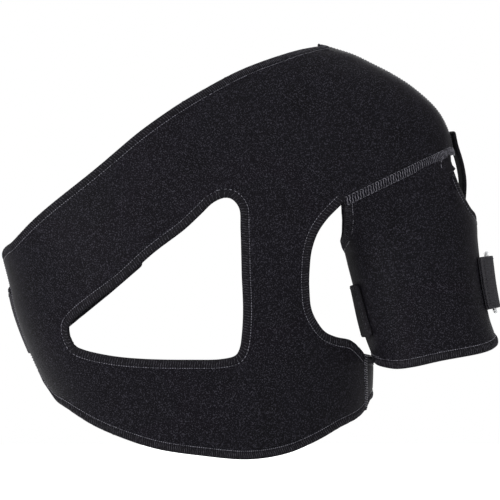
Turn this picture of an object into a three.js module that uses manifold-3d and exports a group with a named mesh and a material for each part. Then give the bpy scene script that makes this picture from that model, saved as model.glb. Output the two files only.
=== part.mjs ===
// Shoulder brace, shown as worn: neoprene panels round the body, a wrap sleeve on the braced arm
// and two straps that run through rings. Millimetres, +Z up, front towards -Y, braced arm at +X.
import * as THREE from "three";
import Module from "manifold-3d";
import { mergeVertices } from "three/addons/utils/BufferGeometryUtils.js";

const wasm = await Module();
wasm.setup();

// Body sizes
const CHEST_WIDTH = 334; // free flank to arm-side flank
const BODY_HEIGHT = 372; // lowest hem to the neck corner
const FRONT_DEPTH = 115; // crest line forward to the fullest part of the chest
const BACK_DEPTH = 112; // crest line back to the shoulder blades
const WALL = 3; // neoprene

// Sleeve sizes
const SLEEVE_WIDTH = 120.5;
const SLEEVE_DEPTH = 120;
const SLEEVE_DROP = 194; // outer end of the shoulder seam to the lowest part of the hem
const SEAM_BLEND = 70; // length over which the sleeve leaves the form of the shoulder

// Strap, webbing and ring sizes
const STRAP_WALL = 2.5;
const BACK_STRAP_WIDTH = 58;
const BACK_STRAP_FOLD = 150; // length that is folded back on itself
const ARM_STRAP_WIDTH = 51;
const ARM_STRAP_FOLD = 60;
const WEBBING_WALL = 1.5;
const KEEPER_LENGTH = 22; // webbing between its sewn end and the ring
const KEEPER_RISE = 14; // from the front panel's end to the flank ring's near bar
const RING_BAR = 4;
const RING_PLATE = 3;
const RING_SLOT = 9;
const STRIP_WIDTH = 26;
const STRIP_WALL = 3.5;

// Fits
const CLEARANCE = 0.3;
const STRAP_SEAT = 0.6; // between a strap and the curved panel that it lies on
const BEND_PLAY = 1.2; // between a ring's bar and what bends round it
const RING_SINK = 5; // how far the straps' pull draws the flank ring in
const SIDE_PLAY = 1; // between a strap's edge and the end of its ring
const CREST_SEAM = 6; // the crest seam lies this far behind the crest line
const FREE_END = 2; // the front panel ends this far before the crest line at the free flank
const REACH = 60; // how far cutters pass the body

// Mesh steps
const BODY_TURNS = 50;
const SLEEVE_TURNS = 44;
const BODY_LEVEL_STEP = 0.05; // in shares of BODY_HEIGHT
const SLEEVE_LEVEL_STEP = 0.07; // in shares of SLEEVE_DROP
const STRAP_STEP = 8;
const STRAP_ROWS = 4;
const RING_ROWS = 6;
const FLANK_STEPS = 8; // from the back strap's drawn line round the flank
const SLEEVE_STEPS = 40; // round the sleeve
const EDGE_STEP = 9;
const BEND_STEPS = 6;
const SECTION_POWER = 2.4; // how square a section is; 2 is an ellipse

// Body sections, bottom to top. Heights are shares of BODY_HEIGHT, sides are shares of CHEST_WIDTH
// from the free flank, and depths are shares of FRONT_DEPTH and BACK_DEPTH.
const BODY_SECTIONS = [
  { up: -0.034, free: 0.173, arm: 0.976, front: 0.93, back: 0.84 },
  { up: 0.063, free: 0.155, arm: 0.988, front: 0.96, back: 0.88 },
  { up: 0.136, free: 0.137, arm: 0.997, front: 0.98, back: 0.91 },
  { up: 0.186, free: 0.11, arm: 1.0, front: 0.99, back: 0.93 },
  { up: 0.235, free: 0.084, arm: 1.002, front: 1.0, back: 0.95 },
  { up: 0.29, free: 0.059, arm: 1.01, front: 1.0, back: 0.97 },
  { up: 0.351, free: 0.037, arm: 1.03, front: 0.985, back: 0.985 },
  { up: 0.419, free: 0.0205, arm: 1.062, front: 0.955, back: 1.0 },
  { up: 0.487, free: 0.001, arm: 1.105, front: 0.905, back: 1.0 },
  { up: 0.571, free: -0.019, arm: 1.162, front: 0.82, back: 0.98 },
  { up: 0.644, free: -0.032, arm: 1.208, front: 0.745, back: 0.94 },
  { up: 0.705, free: -0.042, arm: 1.224, front: 0.68, back: 0.9 },
  { up: 0.741, free: -0.046, arm: 1.215, front: 0.64, back: 0.87 },
  { up: 0.78, free: -0.049, arm: 1.205, front: 0.6, back: 0.84 },
  { up: 0.823, free: -0.042, arm: 1.183, front: 0.555, back: 0.79 },
  { up: 0.855, free: -0.034, arm: 1.154, front: 0.52, back: 0.74 },
  { up: 0.896, free: -0.015, arm: 1.1, front: 0.47, back: 0.66 },
  { up: 0.925, free: 0.01, arm: 1.049, front: 0.43, back: 0.59 },
  { up: 0.949, free: 0.045, arm: 0.997, front: 0.39, back: 0.52 },
  { up: 0.971, free: 0.085, arm: 0.946, front: 0.35, back: 0.45 },
  { up: 0.985, free: 0.115, arm: 0.898, front: 0.315, back: 0.395 },
  { up: 0.994, free: 0.138, arm: 0.863, front: 0.29, back: 0.355 },
  { up: 1.0, free: 0.156, arm: 0.833, front: 0.27, back: 0.325 },
  { up: 1.007, free: 0.18, arm: 0.792, front: 0.24, back: 0.29 },
];

// Sleeve sections, top to bottom. Drops are shares of SLEEVE_DROP, sides are shares of SLEEVE_WIDTH
// from the sleeve's axis, depths and the lean forward are shares of SLEEVE_DEPTH.
const SLEEVE_SECTIONS = [
  { down: -0.065, inner: -0.95, outer: 0.285, front: 0.5, back: 0.56, lean: 0.0 },
  { down: 0.0, inner: -0.9, outer: 0.315, front: 0.51, back: 0.56, lean: 0.0 },
  { down: 0.083, inner: -0.843, outer: 0.362, front: 0.53, back: 0.56, lean: 0.0 },
  { down: 0.176, inner: -0.769, outer: 0.418, front: 0.535, back: 0.56, lean: 0.01 },
  { down: 0.259, inner: -0.679, outer: 0.463, front: 0.53, back: 0.55, lean: 0.025 },
  { down: 0.338, inner: -0.597, outer: 0.491, front: 0.515, back: 0.54, lean: 0.045 },
  { down: 0.398, inner: -0.545, outer: 0.495, front: 0.5, back: 0.53, lean: 0.065 },
  { down: 0.463, inner: -0.5, outer: 0.504, front: 0.495, back: 0.52, lean: 0.09 },
  { down: 0.528, inner: -0.474, outer: 0.515, front: 0.49, back: 0.51, lean: 0.12 },
  { down: 0.639, inner: -0.429, outer: 0.537, front: 0.48, back: 0.5, lean: 0.17 },
  { down: 0.764, inner: -0.386, outer: 0.575, front: 0.47, back: 0.487, lean: 0.23 },
  { down: 0.829, inner: -0.36, outer: 0.609, front: 0.468, back: 0.486, lean: 0.26 },
  { down: 0.87, inner: -0.34, outer: 0.636, front: 0.47, back: 0.488, lean: 0.278 },
  { down: 0.968, inner: -0.283, outer: 0.669, front: 0.478, back: 0.497, lean: 0.32 },
  { down: 1.07, inner: -0.25, outer: 0.685, front: 0.485, back: 0.505, lean: 0.35 },
];

// Edges of the front panel, as shares of CHEST_WIDTH across and of BODY_HEIGHT up
const NECK_EDGE = [
  { across: -0.04, up: 0.48 },
  { across: 0.0, up: 0.495 },
  { across: 0.012, up: 0.507 },
  { across: 0.035, up: 0.523 },
  { across: 0.21, up: 0.661 },
  { across: 0.423, up: 0.816 },
  { across: 0.534, up: 0.88 },
  { across: 0.668, up: 0.942 },
  { across: 0.776, up: 0.976 },
  { across: 0.832, up: 0.988 },
  { across: 0.85, up: 1.003 },
];
const ARMHOLE_EDGE = [
  { across: 0.919, up: 0.6126 },
  { across: 0.896, up: 0.593 },
  { across: 0.871, up: 0.569 },
  { across: 0.849, up: 0.539 },
  { across: 0.833, up: 0.496 },
  { across: 0.8275, up: 0.4455 },
  { across: 0.8275, up: 0.404 },
  { across: 0.833, up: 0.358 },
  { across: 0.849, up: 0.327 },
  { across: 0.871, up: 0.303 },
  { across: 0.9, up: 0.291 },
  { across: 0.938, up: 0.283 },
  { across: 0.96, up: 0.267 },
];
const LOWER_HEM = [
  { across: 0.9596, up: 0.097 },
  { across: 0.908, up: 0.073 },
  { across: 0.849, up: 0.0436 },
  { across: 0.771, up: 0.0145 },
  { across: 0.668, up: 0.0 },
  { across: 0.531, up: 0.0097 },
  { across: 0.423, up: 0.024 },
  { across: 0.34, up: 0.046 },
  { across: 0.253, up: 0.0775 },
  { across: 0.181, up: 0.116 },
  { across: 0.1456, up: 0.138 },
  { across: 0.127, up: 0.162 },
  { across: 0.11, up: 0.184 },
  { across: 0.07, up: 0.215 },
];
const CUT_OUT = [
  { across: 0.598, up: 0.6235 },
  { across: 0.617, up: 0.622 },
  { across: 0.639, up: 0.6 },
  { across: 0.643, up: 0.547 },
  { across: 0.646, up: 0.45 },
  { across: 0.65, up: 0.3535 },
  { across: 0.647, up: 0.3 },
  { across: 0.6415, up: 0.266 },
  { across: 0.631, up: 0.249 },
  { across: 0.596, up: 0.24 },
  { across: 0.509, up: 0.238 },
  { across: 0.381, up: 0.24 },
  { across: 0.2965, up: 0.247 },
  { across: 0.222, up: 0.2615 },
  { across: 0.201, up: 0.271 },
  { across: 0.189, up: 0.293 },
  { across: 0.186, up: 0.315 },
  { across: 0.201, up: 0.334 },
  { across: 0.253, up: 0.373 },
  { across: 0.329, up: 0.424 },
  { across: 0.415, up: 0.494 },
  { across: 0.493, up: 0.547 },
  { across: 0.534, up: 0.581 },
  { across: 0.571, up: 0.6126 },
];

// Edges of the back panel, in the same shares
const SPINE_EDGE = [
  { across: 0.85, up: 1.003 },
  { across: 0.846, up: 0.959 },
  { across: 0.803, up: 0.862 },
  { across: 0.736, up: 0.753 },
  { across: 0.687, up: 0.644 },
  { across: 0.671, up: 0.523 },
  { across: 0.668, up: 0.378 },
  { across: 0.679, up: 0.269 },
  { across: 0.7035, up: 0.184 },
  { across: 0.744, up: 0.1235 },
  { across: 0.803, up: 0.097 },
  { across: 0.884, up: 0.106 },
  { across: 0.9515, up: 0.131 },
  { across: 1.0, up: 0.153 },
  { across: 1.05, up: 0.175 },
];
const REAR_ARMHOLE_EDGE = [
  { across: 1.05, up: 0.222 },
  { across: 1.0, up: 0.232 },
  { across: 0.965, up: 0.249 },
  { across: 0.9245, up: 0.266 },
  { across: 0.871, up: 0.2906 },
  { across: 0.833, up: 0.3196 },
  { across: 0.811, up: 0.3656 },
  { across: 0.806, up: 0.426 },
  { across: 0.814, up: 0.499 },
  { across: 0.8356, up: 0.552 },
  { across: 0.871, up: 0.586 },
  { across: 0.919, up: 0.6126 },
];

// The side seam, where the front panel meets the back panel's flank
const SIDE_SEAM = [
  { across: 0.978, up: 0.246 },
  { across: 0.978, up: 0.2 },
  { across: 0.978, up: 0.114 },
];
const FLANK_HEM = [
  { across: 0.984, up: 0.123 },
  { across: 0.9905, up: 0.135 },
  { across: 1.0, up: 0.153 },
  { across: 1.05, up: 0.175 },
];
const FLANK_TOP = [
  { across: 1.05, up: 0.222 },
  { across: 1.0, up: 0.232 },
  { across: 0.986, up: 0.243 },
];

// The shoulder seam, shared by the panels and the sleeve
const SHOULDER_SEAM = { inner: { across: 0.919, up: 0.6126 }, outer: { across: 1.205, up: 0.736 } };
const REAR_SEAM_SHARE = 0.82; // the rear seam stops here, where the sleeve's opening begins

// Free edges of the sleeve: the inner edge in body shares, the others in sleeve shares
const SLEEVE_INNER_EDGE = [
  { across: 0.919, up: 0.6126 },
  { across: 0.919, up: 0.562 },
  { across: 0.913, up: 0.528 },
  { across: 0.909, up: 0.508 },
  { across: 0.88, up: 0.494 },
];
const SLEEVE_FRONT_OPENING = [
  { aside: 0.262, down: 0.012 },
  { aside: 0.303, down: 0.083 },
  { aside: 0.381, down: 0.199 },
  { aside: 0.44, down: 0.259 },
  { aside: 0.478, down: 0.292 },
  { aside: 0.53, down: 0.33 },
  { aside: 0.65, down: 0.36 },
];
const SLEEVE_REAR_OPENING = [
  { aside: 0.27, down: 0.12 },
  { aside: 0.38, down: 0.22 },
  { aside: 0.47, down: 0.29 },
  { aside: 0.65, down: 0.36 },
];
const SLEEVE_HEM = [
  { aside: 0.78, down: 0.84 },
  { aside: 0.66, down: 0.872 },
  { aside: 0.627, down: 0.898 },
  { aside: 0.522, down: 0.924 },
  { aside: 0.224, down: 0.958 },
  { aside: -0.015, down: 0.991 },
  { aside: -0.134, down: 1.0 },
  { aside: -0.216, down: 0.995 },
  { aside: -0.29, down: 0.963 },
  { aside: -0.4, down: 0.91 },
];

// The back strap's middle line, from the rear shoulder to the free flank and its ring
const BACK_STRAP_LINE = [
  { across: 0.94, up: 0.828 },
  { across: 0.85, up: 0.832 },
  { across: 0.76, up: 0.818 },
  { across: 0.641, up: 0.764 },
  { across: 0.4, up: 0.614 },
  { across: 0.2, up: 0.464 },
  { across: 0.11, up: 0.382 },
];
const FLANK_RING_UP = 0.316; // height of the flank ring, as a share of BODY_HEIGHT
const FLANK_RING_LEAN = 0.33; // rise of the strap for each unit round the flank
const PAST_FLANK = 30; // degrees that its track runs on past the flank
const PANEL_LANDING = 0.29; // share of the back strap that lies on the back panel

// The arm strap and its ring on the sleeve
const ARM_STRAP_DOWN = 0.682; // where it crosses the sleeve's axis, as a share of SLEEVE_DROP
const ARM_STRAP_RISE = 0.212; // rise towards the outer side, square to the leaning arm
const ARM_STRAP_START = 149; // degrees round the sleeve, at the front of its inner side
const ARM_RING_PLACE = 357; // degrees, at the outer side

// The shoulder strip's outer face, in body shares, with its rear edge turned inwards
const STRIP_LINE = [
  { across: 1.223, up: 0.787 },
  { across: 1.23, up: 0.755 },
  { across: 1.24, up: 0.726 },
  { across: 1.247, up: 0.702 },
  { across: 1.253, up: 0.666 },
  { across: 1.252, up: 0.63 },
  { across: 1.248, up: 0.6 },
  { across: 1.244, up: 0.571 },
];
const STRIP_TURN = -0.14; // sideways for each unit backwards

const SEAT_ACROSS = 1.032; // where the crest rests on the shoulder, as a share of CHEST_WIDTH
const SHOULDER_UP = 0.78; // the crest lies above this share of BODY_HEIGHT
const HALVINGS = 40; // steps of the search for a height on the crest

const SLEEVE_AXIS = 1.102 * CHEST_WIDTH;
const SLEEVE_TOP = 0.736 * BODY_HEIGHT;

// Colours
const NEOPRENE = new THREE.MeshStandardMaterial({ color: 0x211f26, roughness: 0.85, metalness: 0 });
const STRAP = new THREE.MeshStandardMaterial({ color: 0x151417, roughness: 0.9, metalness: 0 });
const WEBBING = new THREE.MeshStandardMaterial({ color: 0x2b2a30, roughness: 0.8, metalness: 0 });
const CLEAR = new THREE.MeshStandardMaterial({ color: 0xd8dadc, roughness: 0.25, metalness: 0 });

// Reads a table's column at any place between its rows, on a smooth curve
function columnAt(rows, key, column, value) {
  const last = rows.length - 1;
  let row = 0;
  while (row < last - 1 && value > rows[row + 1][key]) row += 1;
  const slope = (i) => {
    const before = rows[Math.max(i - 1, 0)];
    const after = rows[Math.min(i + 1, last)];
    return (after[column] - before[column]) / (after[key] - before[key]);
  };
  const from = rows[row];
  const to = rows[row + 1];
  const span = to[key] - from[key];
  const t = THREE.MathUtils.clamp((value - from[key]) / span, 0, 1);
  const rest = 1 - t;
  return (
    rest * rest * (1 + 2 * t) * from[column] +
    t * t * (3 - 2 * t) * to[column] +
    rest * rest * t * span * slope(row) -
    t * t * rest * span * slope(row + 1)
  );
}

const rounded = (value) => Math.sign(value) * Math.abs(value) ** (2 / SECTION_POWER);

function bodySection(z) {
  const up = z / BODY_HEIGHT;
  const free = columnAt(BODY_SECTIONS, "up", "free", up) * CHEST_WIDTH;
  const arm = columnAt(BODY_SECTIONS, "up", "arm", up) * CHEST_WIDTH;
  return {
    middle: (free + arm) / 2,
    half: (arm - free) / 2,
    front: columnAt(BODY_SECTIONS, "up", "front", up) * FRONT_DEPTH,
    back: columnAt(BODY_SECTIONS, "up", "back", up) * BACK_DEPTH,
    forward: 0,
  };
}

function sleeveSection(z) {
  const down = (SLEEVE_TOP - z) / SLEEVE_DROP;
  const inner = columnAt(SLEEVE_SECTIONS, "down", "inner", down) * SLEEVE_WIDTH;
  const outer = columnAt(SLEEVE_SECTIONS, "down", "outer", down) * SLEEVE_WIDTH;
  return {
    middle: SLEEVE_AXIS + (inner + outer) / 2,
    half: (outer - inner) / 2,
    front: columnAt(SLEEVE_SECTIONS, "down", "front", down) * SLEEVE_DEPTH,
    back: columnAt(SLEEVE_SECTIONS, "down", "back", down) * SLEEVE_DEPTH,
    forward: columnAt(SLEEVE_SECTIONS, "down", "lean", down) * SLEEVE_DEPTH,
  };
}

// A point on a section: 0 degrees is the arm side, 90 the front, 180 the free side, 270 the back
function sectionPoint(section, angle, z) {
  const aside = rounded(Math.cos(angle));
  const ahead = rounded(Math.sin(angle));
  const depth = ahead > 0 ? section.front : section.back;
  return new THREE.Vector3(section.middle + section.half * aside, -section.forward - depth * ahead, z);
}

// Depth of a section's front or back face straight above a place across
function faceDepth(section, x, inFront) {
  const aside = Math.min(Math.abs((x - section.middle) / section.half), 1);
  const ahead = (1 - aside ** SECTION_POWER) ** (1 / SECTION_POWER);
  return -section.forward + (inFront ? -section.front : section.back) * ahead;
}

function seamHeight(x) {
  const { inner, outer } = SHOULDER_SEAM;
  const share = (x / CHEST_WIDTH - inner.across) / (outer.across - inner.across);
  return (inner.up + share * (outer.up - inner.up)) * BODY_HEIGHT;
}

const bodyPoint = (angle, z) => sectionPoint(bodySection(z), angle, z);

// The sleeve starts on the form of the shoulder at its seam and leaves it over SEAM_BLEND
function sleevePoint(angle, z) {
  const point = sectionPoint(sleeveSection(z), angle, z);
  const seam = seamHeight(point.x);
  const inFront = Math.sin(angle) > 0;
  const step = faceDepth(bodySection(seam), point.x, inFront) - faceDepth(sleeveSection(seam), point.x, inFront);
  point.y += step * (1 - THREE.MathUtils.smoothstep(seam - z, 0, SEAM_BLEND));
  return point;
}

const SMALL_TURN = 0.004;
const SMALL_RISE = 0.4;

function surfaceNormal(surface, angle, z) {
  const along = surface(angle + SMALL_TURN, z).sub(surface(angle - SMALL_TURN, z));
  const up = surface(angle, z + SMALL_RISE).sub(surface(angle, z - SMALL_RISE));
  return up.cross(along).normalize();
}

function lifted(surface, angle, z, lift) {
  return surface(angle, z).addScaledVector(surfaceNormal(surface, angle, z), lift);
}

// Turns a geometry into one closed solid whose faces point out
function solidOf(geometry) {
  geometry.deleteAttribute("normal");
  geometry.deleteAttribute("uv");
  const merged = mergeVertices(geometry, 1e-4);
  const points = Float32Array.from(merged.attributes.position.array);
  const faces = Uint32Array.from(merged.index.array);
  const corner = (i) => new THREE.Vector3().fromArray(points, 3 * faces[i]);
  let volume = 0;
  for (let i = 0; i < faces.length; i += 3) volume += corner(i).dot(corner(i + 1).cross(corner(i + 2)));
  if (volume < 0) faces.reverse();
  return new wasm.Manifold(new wasm.Mesh({ numProp: 3, vertProperties: points, triVerts: faces }));
}

function meshOf(solid, name, material) {
  const result = solid.getMesh();
  const geometry = new THREE.BufferGeometry();
  geometry.setAttribute("position", new THREE.BufferAttribute(Float32Array.from(result.vertProperties), 3));
  geometry.setIndex(new THREE.BufferAttribute(Uint32Array.from(result.triVerts), 1));
  geometry.computeVertexNormals();
  const mesh = new THREE.Mesh(geometry, material);
  mesh.name = name;
  return mesh;
}

// A wall of even thickness under a surface, open at its top and bottom
function wallOf(surface, heights, turns) {
  const points = [];
  for (const lift of [0, -WALL]) {
    for (const z of heights) {
      for (let i = 0; i < turns; i += 1) {
        points.push(...lifted(surface, (2 * Math.PI * i) / turns, z, lift).toArray());
      }
    }
  }
  const at = (layer, level, turn) => (layer * heights.length + level) * turns + (turn % turns);
  const faces = [];
  const quad = (a, b, c, d) => faces.push(a, b, c, a, c, d);
  const top = heights.length - 1;
  for (let i = 0; i < turns; i += 1) {
    for (let level = 0; level < top; level += 1) {
      quad(at(0, level, i), at(0, level + 1, i), at(0, level + 1, i + 1), at(0, level, i + 1));
      quad(at(1, level, i), at(1, level, i + 1), at(1, level + 1, i + 1), at(1, level + 1, i));
    }
    quad(at(0, top, i), at(1, top, i), at(1, top, i + 1), at(0, top, i + 1));
    quad(at(0, 0, i), at(0, 0, i + 1), at(1, 0, i + 1), at(1, 0, i));
  }
  const geometry = new THREE.BufferGeometry();
  geometry.setAttribute("position", new THREE.Float32BufferAttribute(points, 3));
  geometry.setIndex(faces);
  return solidOf(geometry);
}

const onBody = ({ across, up }) => new THREE.Vector2(across * CHEST_WIDTH, up * BODY_HEIGHT);
const onSleeve = ({ aside, down }) =>
  new THREE.Vector2(SLEEVE_AXIS + aside * SLEEVE_WIDTH, SLEEVE_TOP - down * SLEEVE_DROP);

// A smooth line through a few points, in steps of about EDGE_STEP
function smoothLine(points, closed = false) {
  const knots = points.map((point) => new THREE.Vector3(point.x, point.y, 0));
  const curve = new THREE.CatmullRomCurve3(knots, closed, "centripetal");
  const steps = Math.max(Math.round(curve.getLength() / EDGE_STEP), points.length);
  const line = curve.getSpacedPoints(steps).map((point) => new THREE.Vector2(point.x, point.y));
  return closed ? line.slice(0, -1) : line;
}

// A cutter: an outline in the XZ plane, drawn out along Y
function cutter(outline, fromY, toY) {
  const geometry = new THREE.ExtrudeGeometry(new THREE.Shape(outline), {
    depth: toY - fromY,
    bevelEnabled: false,
  });
  geometry.rotateX(Math.PI / 2);
  geometry.translate(0, toY, 0);
  return solidOf(geometry);
}

const frontReach = -FRONT_DEPTH - REACH;
const backReach = BACK_DEPTH + REACH;
const seamAt = (share, shift) => {
  const inner = onBody(SHOULDER_SEAM.inner);
  return inner.lerp(onBody(SHOULDER_SEAM.outer), share).add(new THREE.Vector2(0, shift));
};
const BEYOND_SEAM = 1.3; // shares of the seam's length, past the outer side of the shoulder
const STRIP_GAP_SHARE = 1.04; // where the back panel's lower edge is clear of the strip
const STRIP_GAP = 0.016; // and how far it stands above the seam, as a share of BODY_HEIGHT
const outerAbove = onBody({ across: 1.45, up: 1.0 });
const crestAbove = onBody({ across: 0.9, up: 1.1 });

// A table's levels, with one more between any two that lie further apart than a step
function withMiddles(levels, step) {
  return levels.flatMap((level, i) => {
    const next = levels[i + 1];
    return next - level > step ? [level, (level + next) / 2] : [level];
  });
}

const bodyLevels = withMiddles(BODY_SECTIONS.map(({ up }) => up), BODY_LEVEL_STEP);
const bodyWall = wallOf(bodyPoint, bodyLevels.map((up) => up * BODY_HEIGHT), BODY_TURNS);

function frontPanel() {
  const outline = [
    ...smoothLine(NECK_EDGE.map(onBody)),
    crestAbove,
    outerAbove,
    seamAt(BEYOND_SEAM, CLEARANCE),
    ...smoothLine(ARMHOLE_EDGE.map(onBody)),
    ...smoothLine(SIDE_SEAM.map(onBody)),
    ...smoothLine(LOWER_HEM.map(onBody)),
    onBody({ across: -0.1, up: 0.25 }),
  ];
  const beforeCrest = cutter(outline, frontReach, CREST_SEAM);
  const opening = cutter(smoothLine(CUT_OUT.map(onBody), true), frontReach, backReach);
  return bodyWall.intersect(beforeCrest.subtract(pastFreeEnd()).subtract(opening));
}

// All that lies past the front panel's end at the free flank, square to the back strap
function pastFreeEnd() {
  const track = backTrack();
  const flank = track.lengths[track.flankStation];
  const middle = track.place(flank, 0, 0);
  const along = track.place(flank + 1, 0, 0).sub(track.place(flank - 1, 0, 0)).normalize();
  const out = new THREE.Vector3(-1, 0, 0);
  out.addScaledVector(along, -out.dot(along)).normalize();
  const box = new THREE.BoxGeometry(backReach, CHEST_WIDTH / 2, BODY_HEIGHT);
  box.translate(FREE_END - backReach / 2, 0, 0);
  box.applyMatrix4(new THREE.Matrix4().makeBasis(along, out, along.clone().cross(out)));
  box.translate(middle.x, middle.y, middle.z);
  return solidOf(box);
}

function backPanel() {
  const outline = [
    ...smoothLine(SPINE_EDGE.map(onBody)),
    ...smoothLine(REAR_ARMHOLE_EDGE.map(onBody)),
    seamAt(REAR_SEAM_SHARE, CLEARANCE),
    seamAt(STRIP_GAP_SHARE, STRIP_GAP * BODY_HEIGHT),
    seamAt(BEYOND_SEAM, STRIP_GAP * BODY_HEIGHT),
    outerAbove,
    crestAbove,
  ];
  const clear = new THREE.Vector2(CLEARANCE, 0);
  const flank = [
    ...smoothLine(SIDE_SEAM.map(onBody)).map((point) => point.add(clear)),
    ...smoothLine(FLANK_HEM.map(onBody)).map((point) => point.add(clear)),
    ...smoothLine(FLANK_TOP.map(onBody)).map((point) => point.add(clear)),
  ];
  const behindCrest = cutter(outline, CREST_SEAM + CLEARANCE, backReach);
  return bodyWall.intersect(behindCrest.add(cutter(flank, frontReach, CREST_SEAM + 2 * CLEARANCE)));
}

const sleeveDrops = withMiddles(SLEEVE_SECTIONS.map(({ down }) => down), SLEEVE_LEVEL_STEP);
const sleeveHeights = sleeveDrops.reverse().map((down) => SLEEVE_TOP - down * SLEEVE_DROP);

function armSleeve() {
  const innerEdge = smoothLine(SLEEVE_INNER_EDGE.map(onBody)).slice(1).reverse();
  const hem = smoothLine(SLEEVE_HEM.map(onSleeve));
  const frontOutline = [
    ...hem,
    ...innerEdge,
    seamAt(0, -CLEARANCE),
    ...smoothLine(SLEEVE_FRONT_OPENING.map(onSleeve)),
  ];
  const rearOutline = [
    ...hem,
    ...innerEdge,
    seamAt(0, -CLEARANCE),
    seamAt(REAR_SEAM_SHARE, -CLEARANCE),
    ...smoothLine(SLEEVE_REAR_OPENING.map(onSleeve)),
  ];
  const front = cutter(frontOutline, frontReach, 0);
  const rear = cutter(rearOutline, -CLEARANCE / 10, backReach);
  return wallOf(sleevePoint, sleeveHeights, SLEEVE_TURNS).intersect(front.add(rear));
}

// A track along a surface, by length: its place, its two directions and its outward normal
function trackOn(surface, stations) {
  const lengths = [0];
  for (let i = 1; i < stations.length; i += 1) {
    const from = surface(stations[i - 1].angle, stations[i - 1].z);
    lengths.push(lengths[i - 1] + from.distanceTo(surface(stations[i].angle, stations[i].z)));
  }
  const at = (length) => {
    let i = 0;
    while (i < stations.length - 2 && length > lengths[i + 1]) i += 1;
    const t = (length - lengths[i]) / (lengths[i + 1] - lengths[i]);
    return {
      angle: stations[i].angle + t * (stations[i + 1].angle - stations[i].angle),
      z: stations[i].z + t * (stations[i + 1].z - stations[i].z),
    };
  };
  const place = (length, aside, lift) => {
    const here = at(length);
    const before = at(length - 2);
    const after = at(length + 2);
    const forward = surface(after.angle, after.z).sub(surface(before.angle, before.z)).normalize();
    const out = surfaceNormal(surface, here.angle, here.z);
    const across = forward.clone().cross(out);
    const turnStep = surface(here.angle + SMALL_TURN, here.z).sub(surface(here.angle - SMALL_TURN, here.z));
    const riseStep = surface(here.angle, here.z + SMALL_RISE).sub(surface(here.angle, here.z - SMALL_RISE));
    const turn = (aside * across.dot(turnStep) * 2 * SMALL_TURN) / turnStep.lengthSq();
    const rise = (aside * across.dot(riseStep) * 2 * SMALL_RISE) / riseStep.lengthSq();
    return lifted(surface, here.angle + turn, here.z + rise, lift);
  };
  return { length: lengths[lengths.length - 1], place, stations, lengths };
}

// The side view of a strap that runs along, turns round a ring's bar and comes back over itself.
// Places are lengths along the track, lifts are heights over the surface, way is 1 or -1.
function hairpin({ lower, bar, barLift, upper, wall, way }) {
  const radius = ringHold() + wall / 2;
  const pastBar = bar - way * RING_BAR;
  const middle = lower.map(([along, lift]) => new THREE.Vector2(along, lift));
  middle.push(new THREE.Vector2(pastBar, barLift - radius));
  for (let i = 0; i <= BEND_STEPS; i += 1) {
    const turn = -Math.PI / 2 + (Math.PI * i) / BEND_STEPS;
    middle.push(new THREE.Vector2(bar + way * radius * Math.cos(turn), barLift + radius * Math.sin(turn)));
  }
  middle.push(new THREE.Vector2(pastBar, barLift + radius));
  middle.push(...upper.map(([along, lift]) => new THREE.Vector2(along, lift)));
  const fine = [middle[0]];
  for (let i = 1; i < middle.length; i += 1) {
    const pieces = Math.max(Math.ceil(middle[i].distanceTo(middle[i - 1]) / STRAP_STEP), 1);
    for (let k = 1; k <= pieces; k += 1) fine.push(middle[i - 1].clone().lerp(middle[i], k / pieces));
  }
  const side = (i, shift) => {
    const before = fine[Math.max(i - 1, 0)];
    const after = fine[Math.min(i + 1, fine.length - 1)];
    const along = after.clone().sub(before).normalize();
    return new THREE.Vector2(fine[i].x - along.y * shift, fine[i].y + along.x * shift);
  };
  return { left: fine.map((_, i) => side(i, wall / 2)), right: fine.map((_, i) => side(i, -wall / 2)) };
}

// How far a bent strap's inner face stands from the middle of the bar
const ringHold = () => Math.hypot(RING_BAR, RING_PLATE) / 2 + BEND_PLAY;

// A strap's side view drawn out across a track: each row holds both faces, start to end
function bandOn(place, { left, right }, width) {
  const count = left.length;
  const points = [];
  for (let row = 0; row <= STRAP_ROWS; row += 1) {
    const aside = width * (row / STRAP_ROWS - 0.5);
    for (const face of [left, right]) {
      for (const point of face) points.push(...place(point.x, aside, point.y).toArray());
    }
  }
  const faces = [];
  const quad = (a, b, c, d) => faces.push(a, b, c, a, c, d);
  const at = (row, face, i) => (2 * row + face) * count + i;
  for (let i = 0; i < count - 1; i += 1) {
    quad(at(0, 0, i), at(0, 0, i + 1), at(0, 1, i + 1), at(0, 1, i));
    quad(at(STRAP_ROWS, 0, i), at(STRAP_ROWS, 1, i), at(STRAP_ROWS, 1, i + 1), at(STRAP_ROWS, 0, i + 1));
  }
  for (let row = 0; row < STRAP_ROWS; row += 1) {
    for (let i = 0; i < count - 1; i += 1) {
      quad(at(row, 0, i), at(row + 1, 0, i), at(row + 1, 0, i + 1), at(row, 0, i + 1));
      quad(at(row, 1, i), at(row, 1, i + 1), at(row + 1, 1, i + 1), at(row + 1, 1, i));
    }
    quad(at(row, 0, 0), at(row, 1, 0), at(row + 1, 1, 0), at(row + 1, 0, 0));
    const end = count - 1;
    quad(at(row, 0, end), at(row + 1, 0, end), at(row + 1, 1, end), at(row, 1, end));
  }
  const geometry = new THREE.BufferGeometry();
  geometry.setAttribute("position", new THREE.Float32BufferAttribute(points, 3));
  geometry.setIndex(faces);
  return solidOf(geometry);
}

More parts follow.
